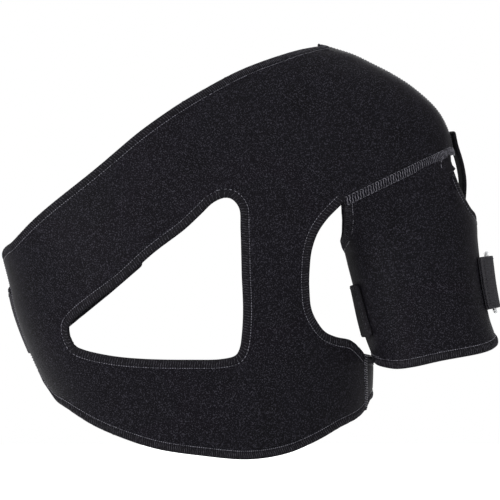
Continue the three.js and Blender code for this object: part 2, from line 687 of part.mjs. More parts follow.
// A ring of flat bars that follows the surface: two long bars and two short ends
function ringOn(place, middle, lift, slotLength) {
  const frame = (halfAlong, halfAcross) => {
    const side = (sign) =>
      Array.from({ length: RING_ROWS + 1 }, (_, i) => {
        const across = halfAcross * (-1 + (2 * i) / RING_ROWS);
        return new THREE.Vector2(sign * halfAlong, sign * across);
      });
    return [...side(1), ...side(-1)];
  };
  const shape = new THREE.Shape(frame(RING_SLOT / 2 + RING_BAR, slotLength / 2 + RING_BAR));
  shape.holes.push(new THREE.Path(frame(RING_SLOT / 2, slotLength / 2)));
  const geometry = new THREE.ExtrudeGeometry(shape, { depth: RING_PLATE, bevelEnabled: false });
  const points = geometry.attributes.position;
  for (let i = 0; i < points.count; i += 1) {
    const at = place(middle + points.getX(i), points.getY(i), lift - RING_PLATE / 2 + points.getZ(i));
    points.setXYZ(i, at.x, at.y, at.z);
  }
  return solidOf(geometry);
}

const barFromMiddle = (RING_SLOT + RING_BAR) / 2;

// The angle at which a section passes a place across, on its back face
function rearAngle(section, x) {
  const aside = THREE.MathUtils.clamp((x - section.middle) / section.half, -1, 1);
  const cosine = Math.sign(aside) * Math.abs(aside) ** (SECTION_POWER / 2);
  return 2 * Math.PI - Math.acos(cosine);
}

// The back strap's track: down the back, then round the free flank to the front panel's end
function backTrack() {
  const stations = smoothLine(BACK_STRAP_LINE.map(onBody)).map((point) => ({
    angle: rearAngle(bodySection(point.y), point.x),
    z: point.y,
  }));
  const ring = { angle: Math.PI, z: FLANK_RING_UP * BODY_HEIGHT };
  const last = stations[stations.length - 1];
  for (let i = 1; i <= FLANK_STEPS; i += 1) {
    const t = i / FLANK_STEPS;
    stations.push({
      angle: THREE.MathUtils.lerp(last.angle, ring.angle, t),
      z: THREE.MathUtils.lerp(last.z, ring.z, t),
    });
  }
  const pastFlank = THREE.MathUtils.degToRad(PAST_FLANK);
  stations.push({
    angle: ring.angle - pastFlank,
    z: ring.z - (FLANK_RING_LEAN * pastFlank * BACK_DEPTH) / 2,
  });
  return { ...trackOn(bodyPoint, stations), flankStation: stations.length - 2 };
}

function backStrapPieces() {
  const track = backTrack();
  const flank = track.lengths[track.flankStation];
  const ringAt = flank - barFromMiddle - KEEPER_RISE;
  const strapBar = ringAt - barFromMiddle;
  const keeperBar = ringAt + barFromMiddle;
  const onSkin = -WALL + STRAP_WALL / 2;
  const onPanel = STRAP_SEAT + STRAP_WALL / 2;
  const ringLift = onSkin + STRAP_WALL / 2 + ringHold() - RING_SINK;
  const overStrap = onSkin + STRAP_WALL + CLEARANCE;
  const landing = PANEL_LANDING * flank;
  const ramp = 3 * RING_SLOT;
  const strap = bandOn(
    track.place,
    hairpin({
      lower: [[0, onPanel], [landing + ramp, onPanel], [landing + 2 * ramp, onSkin]],
      bar: strapBar,
      barLift: ringLift,
      upper: [[strapBar - ramp, overStrap], [strapBar - BACK_STRAP_FOLD, overStrap]],
      wall: STRAP_WALL,
      way: 1,
    }),
    BACK_STRAP_WIDTH,
  );
  const slotLength = BACK_STRAP_WIDTH + 2 * SIDE_PLAY;
  const ring = ringOn(track.place, ringAt, ringLift, slotLength);
  const underPanel = -WALL - STRAP_SEAT - WEBBING_WALL / 2;
  const keeperFoot = flank + KEEPER_LENGTH;
  const keeper = bandOn(
    track.place,
    hairpin({
      lower: [[keeperFoot, underPanel - WEBBING_WALL - CLEARANCE], [flank, underPanel - WEBBING_WALL - CLEARANCE]],
      bar: keeperBar,
      barLift: ringLift,
      upper: [[flank, underPanel], [keeperFoot, underPanel]],
      wall: WEBBING_WALL,
      way: -1,
    }),
    BACK_STRAP_WIDTH,
  );
  return { strap, ring, keeper };
}

function armStrapPieces() {
  const startAngle = THREE.MathUtils.degToRad(ARM_STRAP_START);
  const ringAngle = THREE.MathUtils.degToRad(ARM_RING_PLACE);
  const stations = [];
  const middleHeight = SLEEVE_TOP - ARM_STRAP_DOWN * SLEEVE_DROP;
  for (let i = 0; i <= SLEEVE_STEPS; i += 1) {
    const angle = THREE.MathUtils.lerp(startAngle, ringAngle + Math.PI / 4, i / SLEEVE_STEPS);
    const aside = sleevePoint(angle, middleHeight).x - SLEEVE_AXIS;
    stations.push({ angle, z: middleHeight + ARM_STRAP_RISE * aside });
  }
  const track = trackOn(sleevePoint, stations);
  const ringStation = stations.findIndex((station) => station.angle >= ringAngle);
  const ringAt = track.lengths[ringStation];
  const strapBar = ringAt - barFromMiddle;
  const keeperBar = ringAt + barFromMiddle;
  const lowLift = STRAP_SEAT + STRAP_WALL / 2;
  const ringLift = lowLift + STRAP_WALL / 2 + ringHold();
  const overStrap = lowLift + STRAP_WALL + CLEARANCE;
  const ramp = 2 * RING_SLOT;
  const strap = bandOn(
    track.place,
    hairpin({
      lower: [[0, lowLift]],
      bar: strapBar,
      barLift: ringLift,
      upper: [[strapBar - ramp, overStrap], [strapBar - ARM_STRAP_FOLD, overStrap]],
      wall: STRAP_WALL,
      way: 1,
    }),
    ARM_STRAP_WIDTH,
  );
  const slotLength = ARM_STRAP_WIDTH + 2 * SIDE_PLAY;
  const ring = ringOn(track.place, ringAt, ringLift, slotLength);
  const webLift = STRAP_SEAT + WEBBING_WALL / 2;
  const keeperFoot = keeperBar + KEEPER_LENGTH;
  const keeper = bandOn(
    track.place,
    hairpin({
      lower: [[keeperFoot, webLift], [keeperBar + ramp / 2, webLift]],
      bar: keeperBar,
      barLift: ringLift,
      upper: [
        [keeperFoot - RING_BAR, webLift + WEBBING_WALL + CLEARANCE],
        [keeperFoot, webLift + WEBBING_WALL + CLEARANCE],
      ],
      wall: WEBBING_WALL,
      way: -1,
    }),
    ARM_STRAP_WIDTH,
  );
  return { strap, ring, keeper };
}

// The strip that bridges the sleeve's opening: sewn on the rear shoulder, it bows out and ends
// under the sleeve's outer side
function shoulderStrip() {
  const line = smoothLine(STRIP_LINE.map(onBody));
  const inward = line.map((point, i) => {
    const before = line[Math.max(i - 1, 0)];
    const after = line[Math.min(i + 1, line.length - 1)];
    const along = after.clone().sub(before).normalize();
    return new THREE.Vector2(point.x + along.y * STRIP_WALL, point.y - along.x * STRIP_WALL);
  });
  const geometry = new THREE.ExtrudeGeometry(new THREE.Shape([...line, ...inward.reverse()]), {
    depth: STRIP_WIDTH,
    steps: 3,
    bevelEnabled: false,
  });
  geometry.rotateX(Math.PI / 2);
  geometry.translate(0, STRIP_WIDTH + CLEARANCE, 0);
  const points = geometry.attributes.position;
  for (let i = 0; i < points.count; i += 1) {
    points.setX(i, points.getX(i) + STRIP_TURN * points.getY(i));
  }
  return solidOf(geometry);
}

// The crest over the shoulder: its height above a place across, and the underside where it rests
function crestHeight(x) {
  let low = SHOULDER_UP * BODY_HEIGHT;
  let high = BODY_HEIGHT;
  for (let i = 0; i < HALVINGS; i += 1) {
    const z = (low + high) / 2;
    const section = bodySection(z);
    if (section.middle + section.half > x) low = z;
    else high = z;
  }
  return low;
}

const seatX = SEAT_ACROSS * CHEST_WIDTH;
const seat = lifted(bodyPoint, 0, crestHeight(seatX), -WALL);

const backPieces = backStrapPieces();
const armPieces = armStrapPieces();

const brace = new THREE.Group();
brace.name = "shoulder_brace";
brace.add(
  meshOf(frontPanel(), "front_panel", NEOPRENE),
  meshOf(backPanel(), "back_panel", NEOPRENE),
  meshOf(armSleeve(), "arm_sleeve", NEOPRENE),
  meshOf(shoulderStrip(), "shoulder_strip", STRAP),
  meshOf(backPieces.strap, "back_strap", STRAP),
  meshOf(backPieces.ring, "flank_ring", CLEAR),
  meshOf(backPieces.keeper, "flank_ring_keeper", WEBBING),
  meshOf(armPieces.strap, "arm_strap", STRAP),
  meshOf(armPieces.ring, "arm_ring", CLEAR),
  meshOf(armPieces.keeper, "arm_ring_keeper", WEBBING),
);
brace.position.set(-seat.x, -seat.y, -seat.z);

export default brace;
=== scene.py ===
"""Shoulder brace: neoprene panels, sleeve, straps and rings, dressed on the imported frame."""
import math

import bmesh
import bpy
import numpy as np
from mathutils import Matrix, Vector
from mathutils.geometry import delaunay_2d_cdt
from mathutils.kdtree import KDTree


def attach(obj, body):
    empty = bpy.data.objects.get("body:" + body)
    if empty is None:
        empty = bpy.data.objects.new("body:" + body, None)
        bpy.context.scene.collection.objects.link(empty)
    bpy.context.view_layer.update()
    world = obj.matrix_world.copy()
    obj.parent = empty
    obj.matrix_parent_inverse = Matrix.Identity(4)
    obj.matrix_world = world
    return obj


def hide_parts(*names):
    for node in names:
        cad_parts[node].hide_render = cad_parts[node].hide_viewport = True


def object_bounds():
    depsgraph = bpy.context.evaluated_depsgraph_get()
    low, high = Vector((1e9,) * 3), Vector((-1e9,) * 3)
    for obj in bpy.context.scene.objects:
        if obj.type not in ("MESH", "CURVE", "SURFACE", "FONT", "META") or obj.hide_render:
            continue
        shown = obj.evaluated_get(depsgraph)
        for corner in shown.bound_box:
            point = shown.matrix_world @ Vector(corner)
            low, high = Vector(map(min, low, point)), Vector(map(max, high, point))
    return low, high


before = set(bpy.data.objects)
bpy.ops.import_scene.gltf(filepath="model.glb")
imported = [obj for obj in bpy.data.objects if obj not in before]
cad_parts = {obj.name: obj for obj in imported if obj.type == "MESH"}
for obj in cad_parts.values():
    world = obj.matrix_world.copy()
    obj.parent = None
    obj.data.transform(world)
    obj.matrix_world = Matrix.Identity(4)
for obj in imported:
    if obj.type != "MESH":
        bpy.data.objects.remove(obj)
CAD_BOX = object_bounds()

bl_info = {
    "name": "Shoulder Brace",
    "version": (1, 0, 0),
    "blender": (4, 5, 0),
    "location": "View3D > Sidebar > Brace",
    "description": "Neoprene, straps, rings and stitches of a shoulder brace",
    "category": "Object",
}

MM = 0.001

# Driving sizes of the brace in millimetres, the same as the solids'
CHEST_WIDTH = 334
BODY_HEIGHT = 372
FRONT_DEPTH = 115
BACK_DEPTH = 112
WALL = 3
SLEEVE_WIDTH = 120.5
SLEEVE_DEPTH = 120
SLEEVE_DROP = 194
SEAM_BLEND = 70
STRAP_WALL = 2.5
BACK_STRAP_WIDTH = 58
BACK_STRAP_FOLD = 150
ARM_STRAP_WIDTH = 51
ARM_STRAP_FOLD = 60
WEBBING_WALL = 1.5
KEEPER_LENGTH = 22
KEEPER_RISE = 14
RING_BAR = 4
RING_PLATE = 3
RING_SLOT = 9
STRIP_WIDTH = 26
STRIP_WALL = 3.5
CLEARANCE = 0.3
STRAP_SEAT = 0.6
BEND_PLAY = 1.2
RING_SINK = 5
SIDE_PLAY = 1
CREST_SEAM = 6
FREE_END = 2
SECTION_POWER = 2.4


def table(names, *rows):
    """A short table: each name with its column of numbers."""
    return {name: np.array(column, float) for name, column in zip(names, zip(*rows))}


# Body sections: shares of BODY_HEIGHT, CHEST_WIDTH, FRONT_DEPTH and BACK_DEPTH
BODY_SECTIONS = table(
    ("up", "free", "arm", "front", "back"),
    (-0.034, 0.173, 0.976, 0.93, 0.84),
    (0.063, 0.155, 0.988, 0.96, 0.88),
    (0.136, 0.137, 0.997, 0.98, 0.91),
    (0.186, 0.11, 1.0, 0.99, 0.93),
    (0.235, 0.084, 1.002, 1.0, 0.95),
    (0.29, 0.059, 1.01, 1.0, 0.97),
    (0.351, 0.037, 1.03, 0.985, 0.985),
    (0.419, 0.0205, 1.062, 0.955, 1.0),
    (0.487, 0.001, 1.105, 0.905, 1.0),
    (0.571, -0.019, 1.162, 0.82, 0.98),
    (0.644, -0.032, 1.208, 0.745, 0.94),
    (0.705, -0.042, 1.224, 0.68, 0.9),
    (0.741, -0.046, 1.215, 0.64, 0.87),
    (0.78, -0.049, 1.205, 0.6, 0.84),
    (0.823, -0.042, 1.183, 0.555, 0.79),
    (0.855, -0.034, 1.154, 0.52, 0.74),
    (0.896, -0.015, 1.1, 0.47, 0.66),
    (0.925, 0.01, 1.049, 0.43, 0.59),
    (0.949, 0.045, 0.997, 0.39, 0.52),
    (0.971, 0.085, 0.946, 0.35, 0.45),
    (0.985, 0.115, 0.898, 0.315, 0.395),
    (0.994, 0.138, 0.863, 0.29, 0.355),
    (1.0, 0.156, 0.833, 0.27, 0.325),
    (1.007, 0.18, 0.792, 0.24, 0.29),
)

# Sleeve sections: shares of SLEEVE_DROP, SLEEVE_WIDTH and SLEEVE_DEPTH
SLEEVE_SECTIONS = table(
    ("down", "inner", "outer", "front", "back", "lean"),
    (-0.065, -0.95, 0.285, 0.5, 0.56, 0.0),
    (0.0, -0.9, 0.315, 0.51, 0.56, 0.0),
    (0.083, -0.843, 0.362, 0.53, 0.56, 0.0),
    (0.176, -0.769, 0.418, 0.535, 0.56, 0.01),
    (0.259, -0.679, 0.463, 0.53, 0.55, 0.025),
    (0.338, -0.597, 0.491, 0.515, 0.54, 0.045),
    (0.398, -0.545, 0.495, 0.5, 0.53, 0.065),
    (0.463, -0.5, 0.504, 0.495, 0.52, 0.09),
    (0.528, -0.474, 0.515, 0.49, 0.51, 0.12),
    (0.639, -0.429, 0.537, 0.48, 0.5, 0.17),
    (0.764, -0.386, 0.575, 0.47, 0.487, 0.23),
    (0.829, -0.36, 0.609, 0.468, 0.486, 0.26),
    (0.87, -0.34, 0.636, 0.47, 0.488, 0.278),
    (0.968, -0.283, 0.669, 0.478, 0.497, 0.32),
    (1.07, -0.25, 0.685, 0.485, 0.505, 0.35),
)

# Edges of the panels: shares of CHEST_WIDTH across and of BODY_HEIGHT up
NECK_EDGE = (
    (0.012, 0.507), (0.035, 0.523), (0.21, 0.661), (0.423, 0.816), (0.534, 0.88),
    (0.668, 0.942), (0.776, 0.976), (0.832, 0.988),
)
ARMHOLE_EDGE = (
    (0.919, 0.6126), (0.896, 0.593), (0.871, 0.569), (0.849, 0.539), (0.833, 0.496), (0.8275, 0.4455),
    (0.8275, 0.404), (0.833, 0.358), (0.849, 0.327), (0.871, 0.303), (0.9, 0.291), (0.938, 0.283),
    (0.96, 0.267), (0.978, 0.246),
)
SIDE_SEAM = ((0.978, 0.246), (0.978, 0.2), (0.978, 0.114))
LOWER_HEM = (
    (0.978, 0.114), (0.9596, 0.097), (0.908, 0.073), (0.849, 0.0436), (0.771, 0.0145), (0.668, 0.0),
    (0.531, 0.0097), (0.423, 0.024), (0.34, 0.046), (0.253, 0.0775), (0.181, 0.116), (0.1456, 0.138),
    (0.127, 0.162), (0.1135, 0.18),
)
CUT_OUT = (
    (0.598, 0.6235), (0.617, 0.622), (0.639, 0.6), (0.643, 0.547), (0.646, 0.45), (0.65, 0.3535),
    (0.647, 0.3), (0.6415, 0.266), (0.631, 0.249), (0.596, 0.24), (0.509, 0.238), (0.381, 0.24),
    (0.2965, 0.247), (0.222, 0.2615), (0.201, 0.271), (0.189, 0.293), (0.186, 0.315), (0.201, 0.334),
    (0.253, 0.373), (0.329, 0.424), (0.415, 0.494), (0.493, 0.547), (0.534, 0.581), (0.571, 0.6126),
)
SPINE_EDGE = (
    (0.846, 0.975), (0.838, 0.945), (0.803, 0.862), (0.736, 0.753), (0.687, 0.644), (0.671, 0.523),
    (0.668, 0.378), (0.679, 0.269), (0.7035, 0.184), (0.744, 0.1235), (0.803, 0.097), (0.884, 0.106),
    (0.9515, 0.131),
)
FLANK_HEM = ((0.9905, 0.135), (0.984, 0.123), (0.978, 0.114))
FLANK_TOP = ((0.978, 0.246), (0.986, 0.243))
REAR_ARMHOLE_EDGE = (
    (0.965, 0.249), (0.9245, 0.266), (0.871, 0.2906), (0.833, 0.3196), (0.811, 0.3656), (0.806, 0.426),
    (0.814, 0.499), (0.8356, 0.552), (0.871, 0.586), (0.919, 0.6126),
)
SEAM_INNER = (0.919, 0.6126)
SEAM_OUTER = (1.205, 0.736)
REAR_SEAM_SHARE = 0.82
STRIP_GAP_SHARE = 1.04
STRIP_GAP = 0.016
PANEL_TOP = 0.996  # height of the crest's end at the neck
PANEL_CORNER = 0.49  # height of the front panel's upper corner at the free flank
PANEL_FOOT = 0.205  # height of its lower corner there

# Edges of the sleeve: the inner edge in body shares, the others in sleeve shares
SLEEVE_INNER_EDGE = ((0.919, 0.6126), (0.919, 0.562), (0.913, 0.528))
INNER_EDGE_FOOT = 0.512
SLEEVE_FRONT_OPENING = (
    (0.29, 0.0), (0.312, 0.083), (0.385, 0.199), (0.44, 0.259), (0.478, 0.292),
)
SLEEVE_REAR_OPENING = ((0.27, 0.12), (0.38, 0.22), (0.47, 0.29))
OPENING_FOOT = 0.312
SLEEVE_HEM = (
    (0.627, 0.898), (0.522, 0.924), (0.224, 0.958), (-0.015, 0.991), (-0.134, 1.0), (-0.216, 0.995),
)
HEM_OUTER = 0.876
HEM_INNER = 0.963
SEAM_LAP = 0.0015  # the sewn sleeve meets the panels without a gap, as a share of BODY_HEIGHT

# The back strap's middle line and the places along the straps
BACK_STRAP_LINE = (
    (0.94, 0.828), (0.85, 0.832), (0.76, 0.818), (0.641, 0.764), (0.4, 0.614), (0.2, 0.464), (0.11, 0.382),
)
FLANK_RING_UP = 0.316
FLANK_RING_LEAN = 0.33
PAST_FLANK = math.radians(30)
PANEL_LANDING = 0.29
ARM_STRAP_DOWN = 0.682
ARM_STRAP_RISE = 0.212
ARM_STRAP_START = math.radians(149)
ARM_RING_PLACE = math.radians(357)
STRIP_LINE = (
    (1.223, 0.787), (1.23, 0.755), (1.24, 0.726), (1.247, 0.702), (1.253, 0.666), (1.252, 0.63),
    (1.248, 0.6), (1.244, 0.571),
)
STRIP_TURN = -0.14
SHOULDER_UP = 0.78  # the crest's underside lies above this share of the height
HALVINGS = 40
SEAT_ACROSS = 1.032

SLEEVE_AXIS = 1.102 * CHEST_WIDTH
SLEEVE_TOP = 0.736 * BODY_HEIGHT


def column_at(columns, key, name, value):
    """Reads a table's column at any place between its rows, on a smooth curve."""
    keys = columns[key]
    values = columns[name]
    last = len(keys) - 1
    before = np.maximum(np.arange(last + 1) - 1, 0)
    after = np.minimum(np.arange(last + 1) + 1, last)
    slopes = (values[after] - values[before]) / (keys[after] - keys[before])
    row = np.clip(np.searchsorted(keys, value) - 1, 0, last - 1)
    span = keys[row + 1] - keys[row]
    t = np.clip((value - keys[row]) / span, 0, 1)
    rest = 1 - t
    start = rest * rest * ((1 + 2 * t) * values[row] + t * span * slopes[row])
    end = t * t * ((3 - 2 * t) * values[row + 1] - rest * span * slopes[row + 1])
    return start + end


def rounded(value):
    return np.sign(value) * np.abs(value) ** (2 / SECTION_POWER)


def body_section(z):
    up = np.asarray(z, float) / BODY_HEIGHT
    free = column_at(BODY_SECTIONS, "up", "free", up) * CHEST_WIDTH
    arm = column_at(BODY_SECTIONS, "up", "arm", up) * CHEST_WIDTH
    front = column_at(BODY_SECTIONS, "up", "front", up) * FRONT_DEPTH
    back = column_at(BODY_SECTIONS, "up", "back", up) * BACK_DEPTH
    return {
        "middle": (free + arm) / 2,
        "half": (arm - free) / 2,
        "front": front,
        "back": back,
        "lean": 0 * up,
    }


def sleeve_section(z):
    down = (SLEEVE_TOP - np.asarray(z, float)) / SLEEVE_DROP
    inner = column_at(SLEEVE_SECTIONS, "down", "inner", down) * SLEEVE_WIDTH
    outer = column_at(SLEEVE_SECTIONS, "down", "outer", down) * SLEEVE_WIDTH
    return {
        "middle": SLEEVE_AXIS + (inner + outer) / 2,
        "half": (outer - inner) / 2,
        "front": column_at(SLEEVE_SECTIONS, "down", "front", down) * SLEEVE_DEPTH,
        "back": column_at(SLEEVE_SECTIONS, "down", "back", down) * SLEEVE_DEPTH,
        "lean": column_at(SLEEVE_SECTIONS, "down", "lean", down) * SLEEVE_DEPTH,
    }


def section_point(section, turn, z):
    """A point on a section: turn 0 is the arm side, a quarter the front, a half the free side."""
    ahead = rounded(np.sin(turn))
    depth = np.where(ahead > 0, section["front"], section["back"])
    x = section["middle"] + section["half"] * rounded(np.cos(turn))
    y = -section["lean"] - depth * ahead
    return np.stack(np.broadcast_arrays(x, y, z), axis=-1)


def face_depth(section, x, in_front):
    aside = np.minimum(np.abs((x - section["middle"]) / section["half"]), 1)
    ahead = (1 - aside ** SECTION_POWER) ** (1 / SECTION_POWER)
    return -section["lean"] + np.where(in_front, -section["front"], section["back"]) * ahead


def seam_height(x):
    share = (x / CHEST_WIDTH - SEAM_INNER[0]) / (SEAM_OUTER[0] - SEAM_INNER[0])
    return (SEAM_INNER[1] + share * (SEAM_OUTER[1] - SEAM_INNER[1])) * BODY_HEIGHT


def smooth_step(value, low, high):
    t = np.clip((value - low) / (high - low), 0, 1)
    return t * t * (3 - 2 * t)


def body_surface(turn, z):
    return section_point(body_section(z), turn, z)


def sleeve_surface(turn, z):
    """The sleeve starts on the form of the shoulder at its seam and leaves it lower down."""
    point = section_point(sleeve_section(z), turn, z)
    seam = seam_height(point[..., 0])
    steps = [face_depth(body_section(seam), point[..., 0], in_front)
             - face_depth(sleeve_section(seam), point[..., 0], in_front) for in_front in (True, False)]
    front_share = (1 + np.clip(np.sin(turn) / ARMPIT_TURN, -1, 1)) / 2
    step = front_share * steps[0] + (1 - front_share) * steps[1]
    point[..., 1] += step * (1 - smooth_step(seam - z, 0, SEAM_BLEND))
    return point


SMALL_TURN = 0.004
SMALL_RISE = 0.4
ARMPIT_TURN = 0.16  # over this turn the sleeve's front face passes into its rear face at the armpit


def unit(vectors):
    return vectors / np.linalg.norm(vectors, axis=-1, keepdims=True)


def surface_normal(surface, turn, z):
    along = surface(turn + SMALL_TURN, z) - surface(turn - SMALL_TURN, z)
    up = surface(turn, z + SMALL_RISE) - surface(turn, z - SMALL_RISE)
    return unit(np.cross(up, along))


def lifted(surface, turn, z, lift):
    return surface(turn, z) + surface_normal(surface, turn, z) * np.asarray(lift)[..., None]


def seat_point():
    """Where the crest's underside rests on the shoulder: the row frame's origin."""
    x = SEAT_ACROSS * CHEST_WIDTH
    low = SHOULDER_UP * BODY_HEIGHT
    high = BODY_HEIGHT
    for _ in range(HALVINGS):
        z = (low + high) / 2
        section = body_section(z)
        if section["middle"] + section["half"] > x:
            low = z
        else:
            high = z
    return lifted(body_surface, np.array(0.0), np.array(low), -WALL)


SEAT = seat_point()


def to_row(points):
    """Brace millimetres to the row frame's metres."""
    return (np.asarray(points) - SEAT) * MM


class Cloth:
    """A surface with even coordinates in millimetres: u runs round it and v runs up it."""

    TURNS = np.linspace(-0.7, 2 * math.pi + 1.2, 760)

    def __init__(self, surface, section, low, high):
        self.surface = surface
        self.section = section
        self.heights = np.linspace(low, high, 200)
        turn, z = np.meshgrid(self.TURNS, self.heights)
        points = surface(turn, z)
        round_steps = np.linalg.norm(np.diff(points, axis=1), axis=-1).mean(axis=0)
        up_steps = np.linalg.norm(np.diff(points, axis=0), axis=-1).mean(axis=1)
        self.around = np.concatenate([[0], np.cumsum(round_steps)])
        self.around -= np.interp(0, self.TURNS, self.around)
        self.upward = np.concatenate([[0], np.cumsum(up_steps)])

    def even(self, turn, z):
        return np.interp(turn, self.TURNS, self.around), np.interp(z, self.heights, self.upward)

    def odd(self, u, v):
        return np.interp(u, self.around, self.TURNS), np.interp(v, self.upward, self.heights)

    def point(self, uv, lift=0.0):
        turn, z = self.odd(uv[:, 0], uv[:, 1])
        return lifted(self.surface, turn, z, np.broadcast_to(lift, turn.shape))

    def normal(self, uv):
        turn, z = self.odd(uv[:, 0], uv[:, 1])
        return surface_normal(self.surface, turn, z)

    def shifted(self, uv, direction, distance):
        """uv moved so that its point goes that far along a direction in the surface."""
        step = np.array([0.5, 0.0]), np.array([0.0, 0.5])
        by_u = self.point(uv + step[0]) - self.point(uv - step[0])
        by_v = self.point(uv + step[1]) - self.point(uv - step[1])
        uu = (by_u * by_u).sum(1)
        vv = (by_v * by_v).sum(1)
        cross = (by_u * by_v).sum(1)
        du = (by_u * direction).sum(1)
        dv = (by_v * direction).sum(1)
        base = uu * vv - cross * cross
        moved = np.stack([(du * vv - dv * cross) / base, (dv * uu - du * cross) / base], axis=1)
        return uv + moved * np.asarray(distance).reshape(-1, 1)

    def turn_at(self, x, z, rear=False):
        section = self.section(z)
        aside = np.clip((x - section["middle"]) / section["half"], -1, 1)
        turn = np.arccos(np.sign(aside) * np.abs(aside) ** (SECTION_POWER / 2))
        return 2 * math.pi - turn if rear else turn

    def knots(self, rows, to_mm, rear=False, extra_turn=0.0):
        places = np.array([to_mm(row) for row in rows])
        turn = self.turn_at(places[:, 0], places[:, 1], rear) + extra_turn
        return np.stack(self.even(turn, places[:, 1]), axis=1)

    def knot(self, turn, z):
        return np.array([self.even(turn, z)])


def on_body(row):
    return row[0] * CHEST_WIDTH, row[1] * BODY_HEIGHT


def on_sleeve(row):
    return SLEEVE_AXIS + row[0] * SLEEVE_WIDTH, SLEEVE_TOP - row[1] * SLEEVE_DROP


def even_steps(line, step):
    """The same line in even steps."""
    lengths = np.concatenate([[0], np.cumsum(np.linalg.norm(np.diff(line, axis=0), axis=1))])
    count = max(int(round(lengths[-1] / step)), 1)
    places = np.linspace(0, lengths[-1], count + 1)
    return np.stack([np.interp(places, lengths, line[:, i]) for i in range(line.shape[1])], axis=1)


def smooth_line(knots, step, closed=False):
    """A smooth line through a few knots, a centripetal Catmull-Rom curve, in even steps."""
    knots = np.asarray(knots, float)
    if closed:
        knots = np.concatenate([knots[-1:], knots, knots[:2]])
    else:
        knots = np.concatenate([2 * knots[:1] - knots[1:2], knots, 2 * knots[-1:] - knots[-2:-1]])
    line = []
    t = np.linspace(0, 1, 12, endpoint=False)[:, None]
    for before, start, end, after in zip(knots, knots[1:], knots[2:], knots[3:]):
        gap0, gap1, gap2 = (max(np.linalg.norm(b - a), 1e-6) ** 0.5
                            for a, b in ((before, start), (start, end), (end, after)))
        leave = ((start - before) / gap0 - (end - before) / (gap0 + gap1) + (end - start) / gap1) * gap1
        arrive = ((end - start) / gap1 - (after - start) / (gap1 + gap2) + (after - end) / gap2) * gap1
        line.append(
            (2 * t ** 3 - 3 * t ** 2 + 1) * start + (t ** 3 - 2 * t ** 2 + t) * leave
            + (3 * t ** 2 - 2 * t ** 3) * end + (t ** 3 - t ** 2) * arrive
        )
    line.append(knots[-2:-1])
    return even_steps(np.concatenate(line), step)


EDGE_STEP = 2.6  # along the panels' edges
STRAP_CORNER = 5  # radius of a strap's corners
HEM_WIDTH = 6.5  # overlocked edge
GROOVE_AT = 7.6  # the stitch line beside it
EDGE_ROWS = (0.5, 1.2, 2.1, 3.6, 5.2, 6.6, 7.6, 8.6, 10.2)
CELL = 4.2  # between the points inside a panel


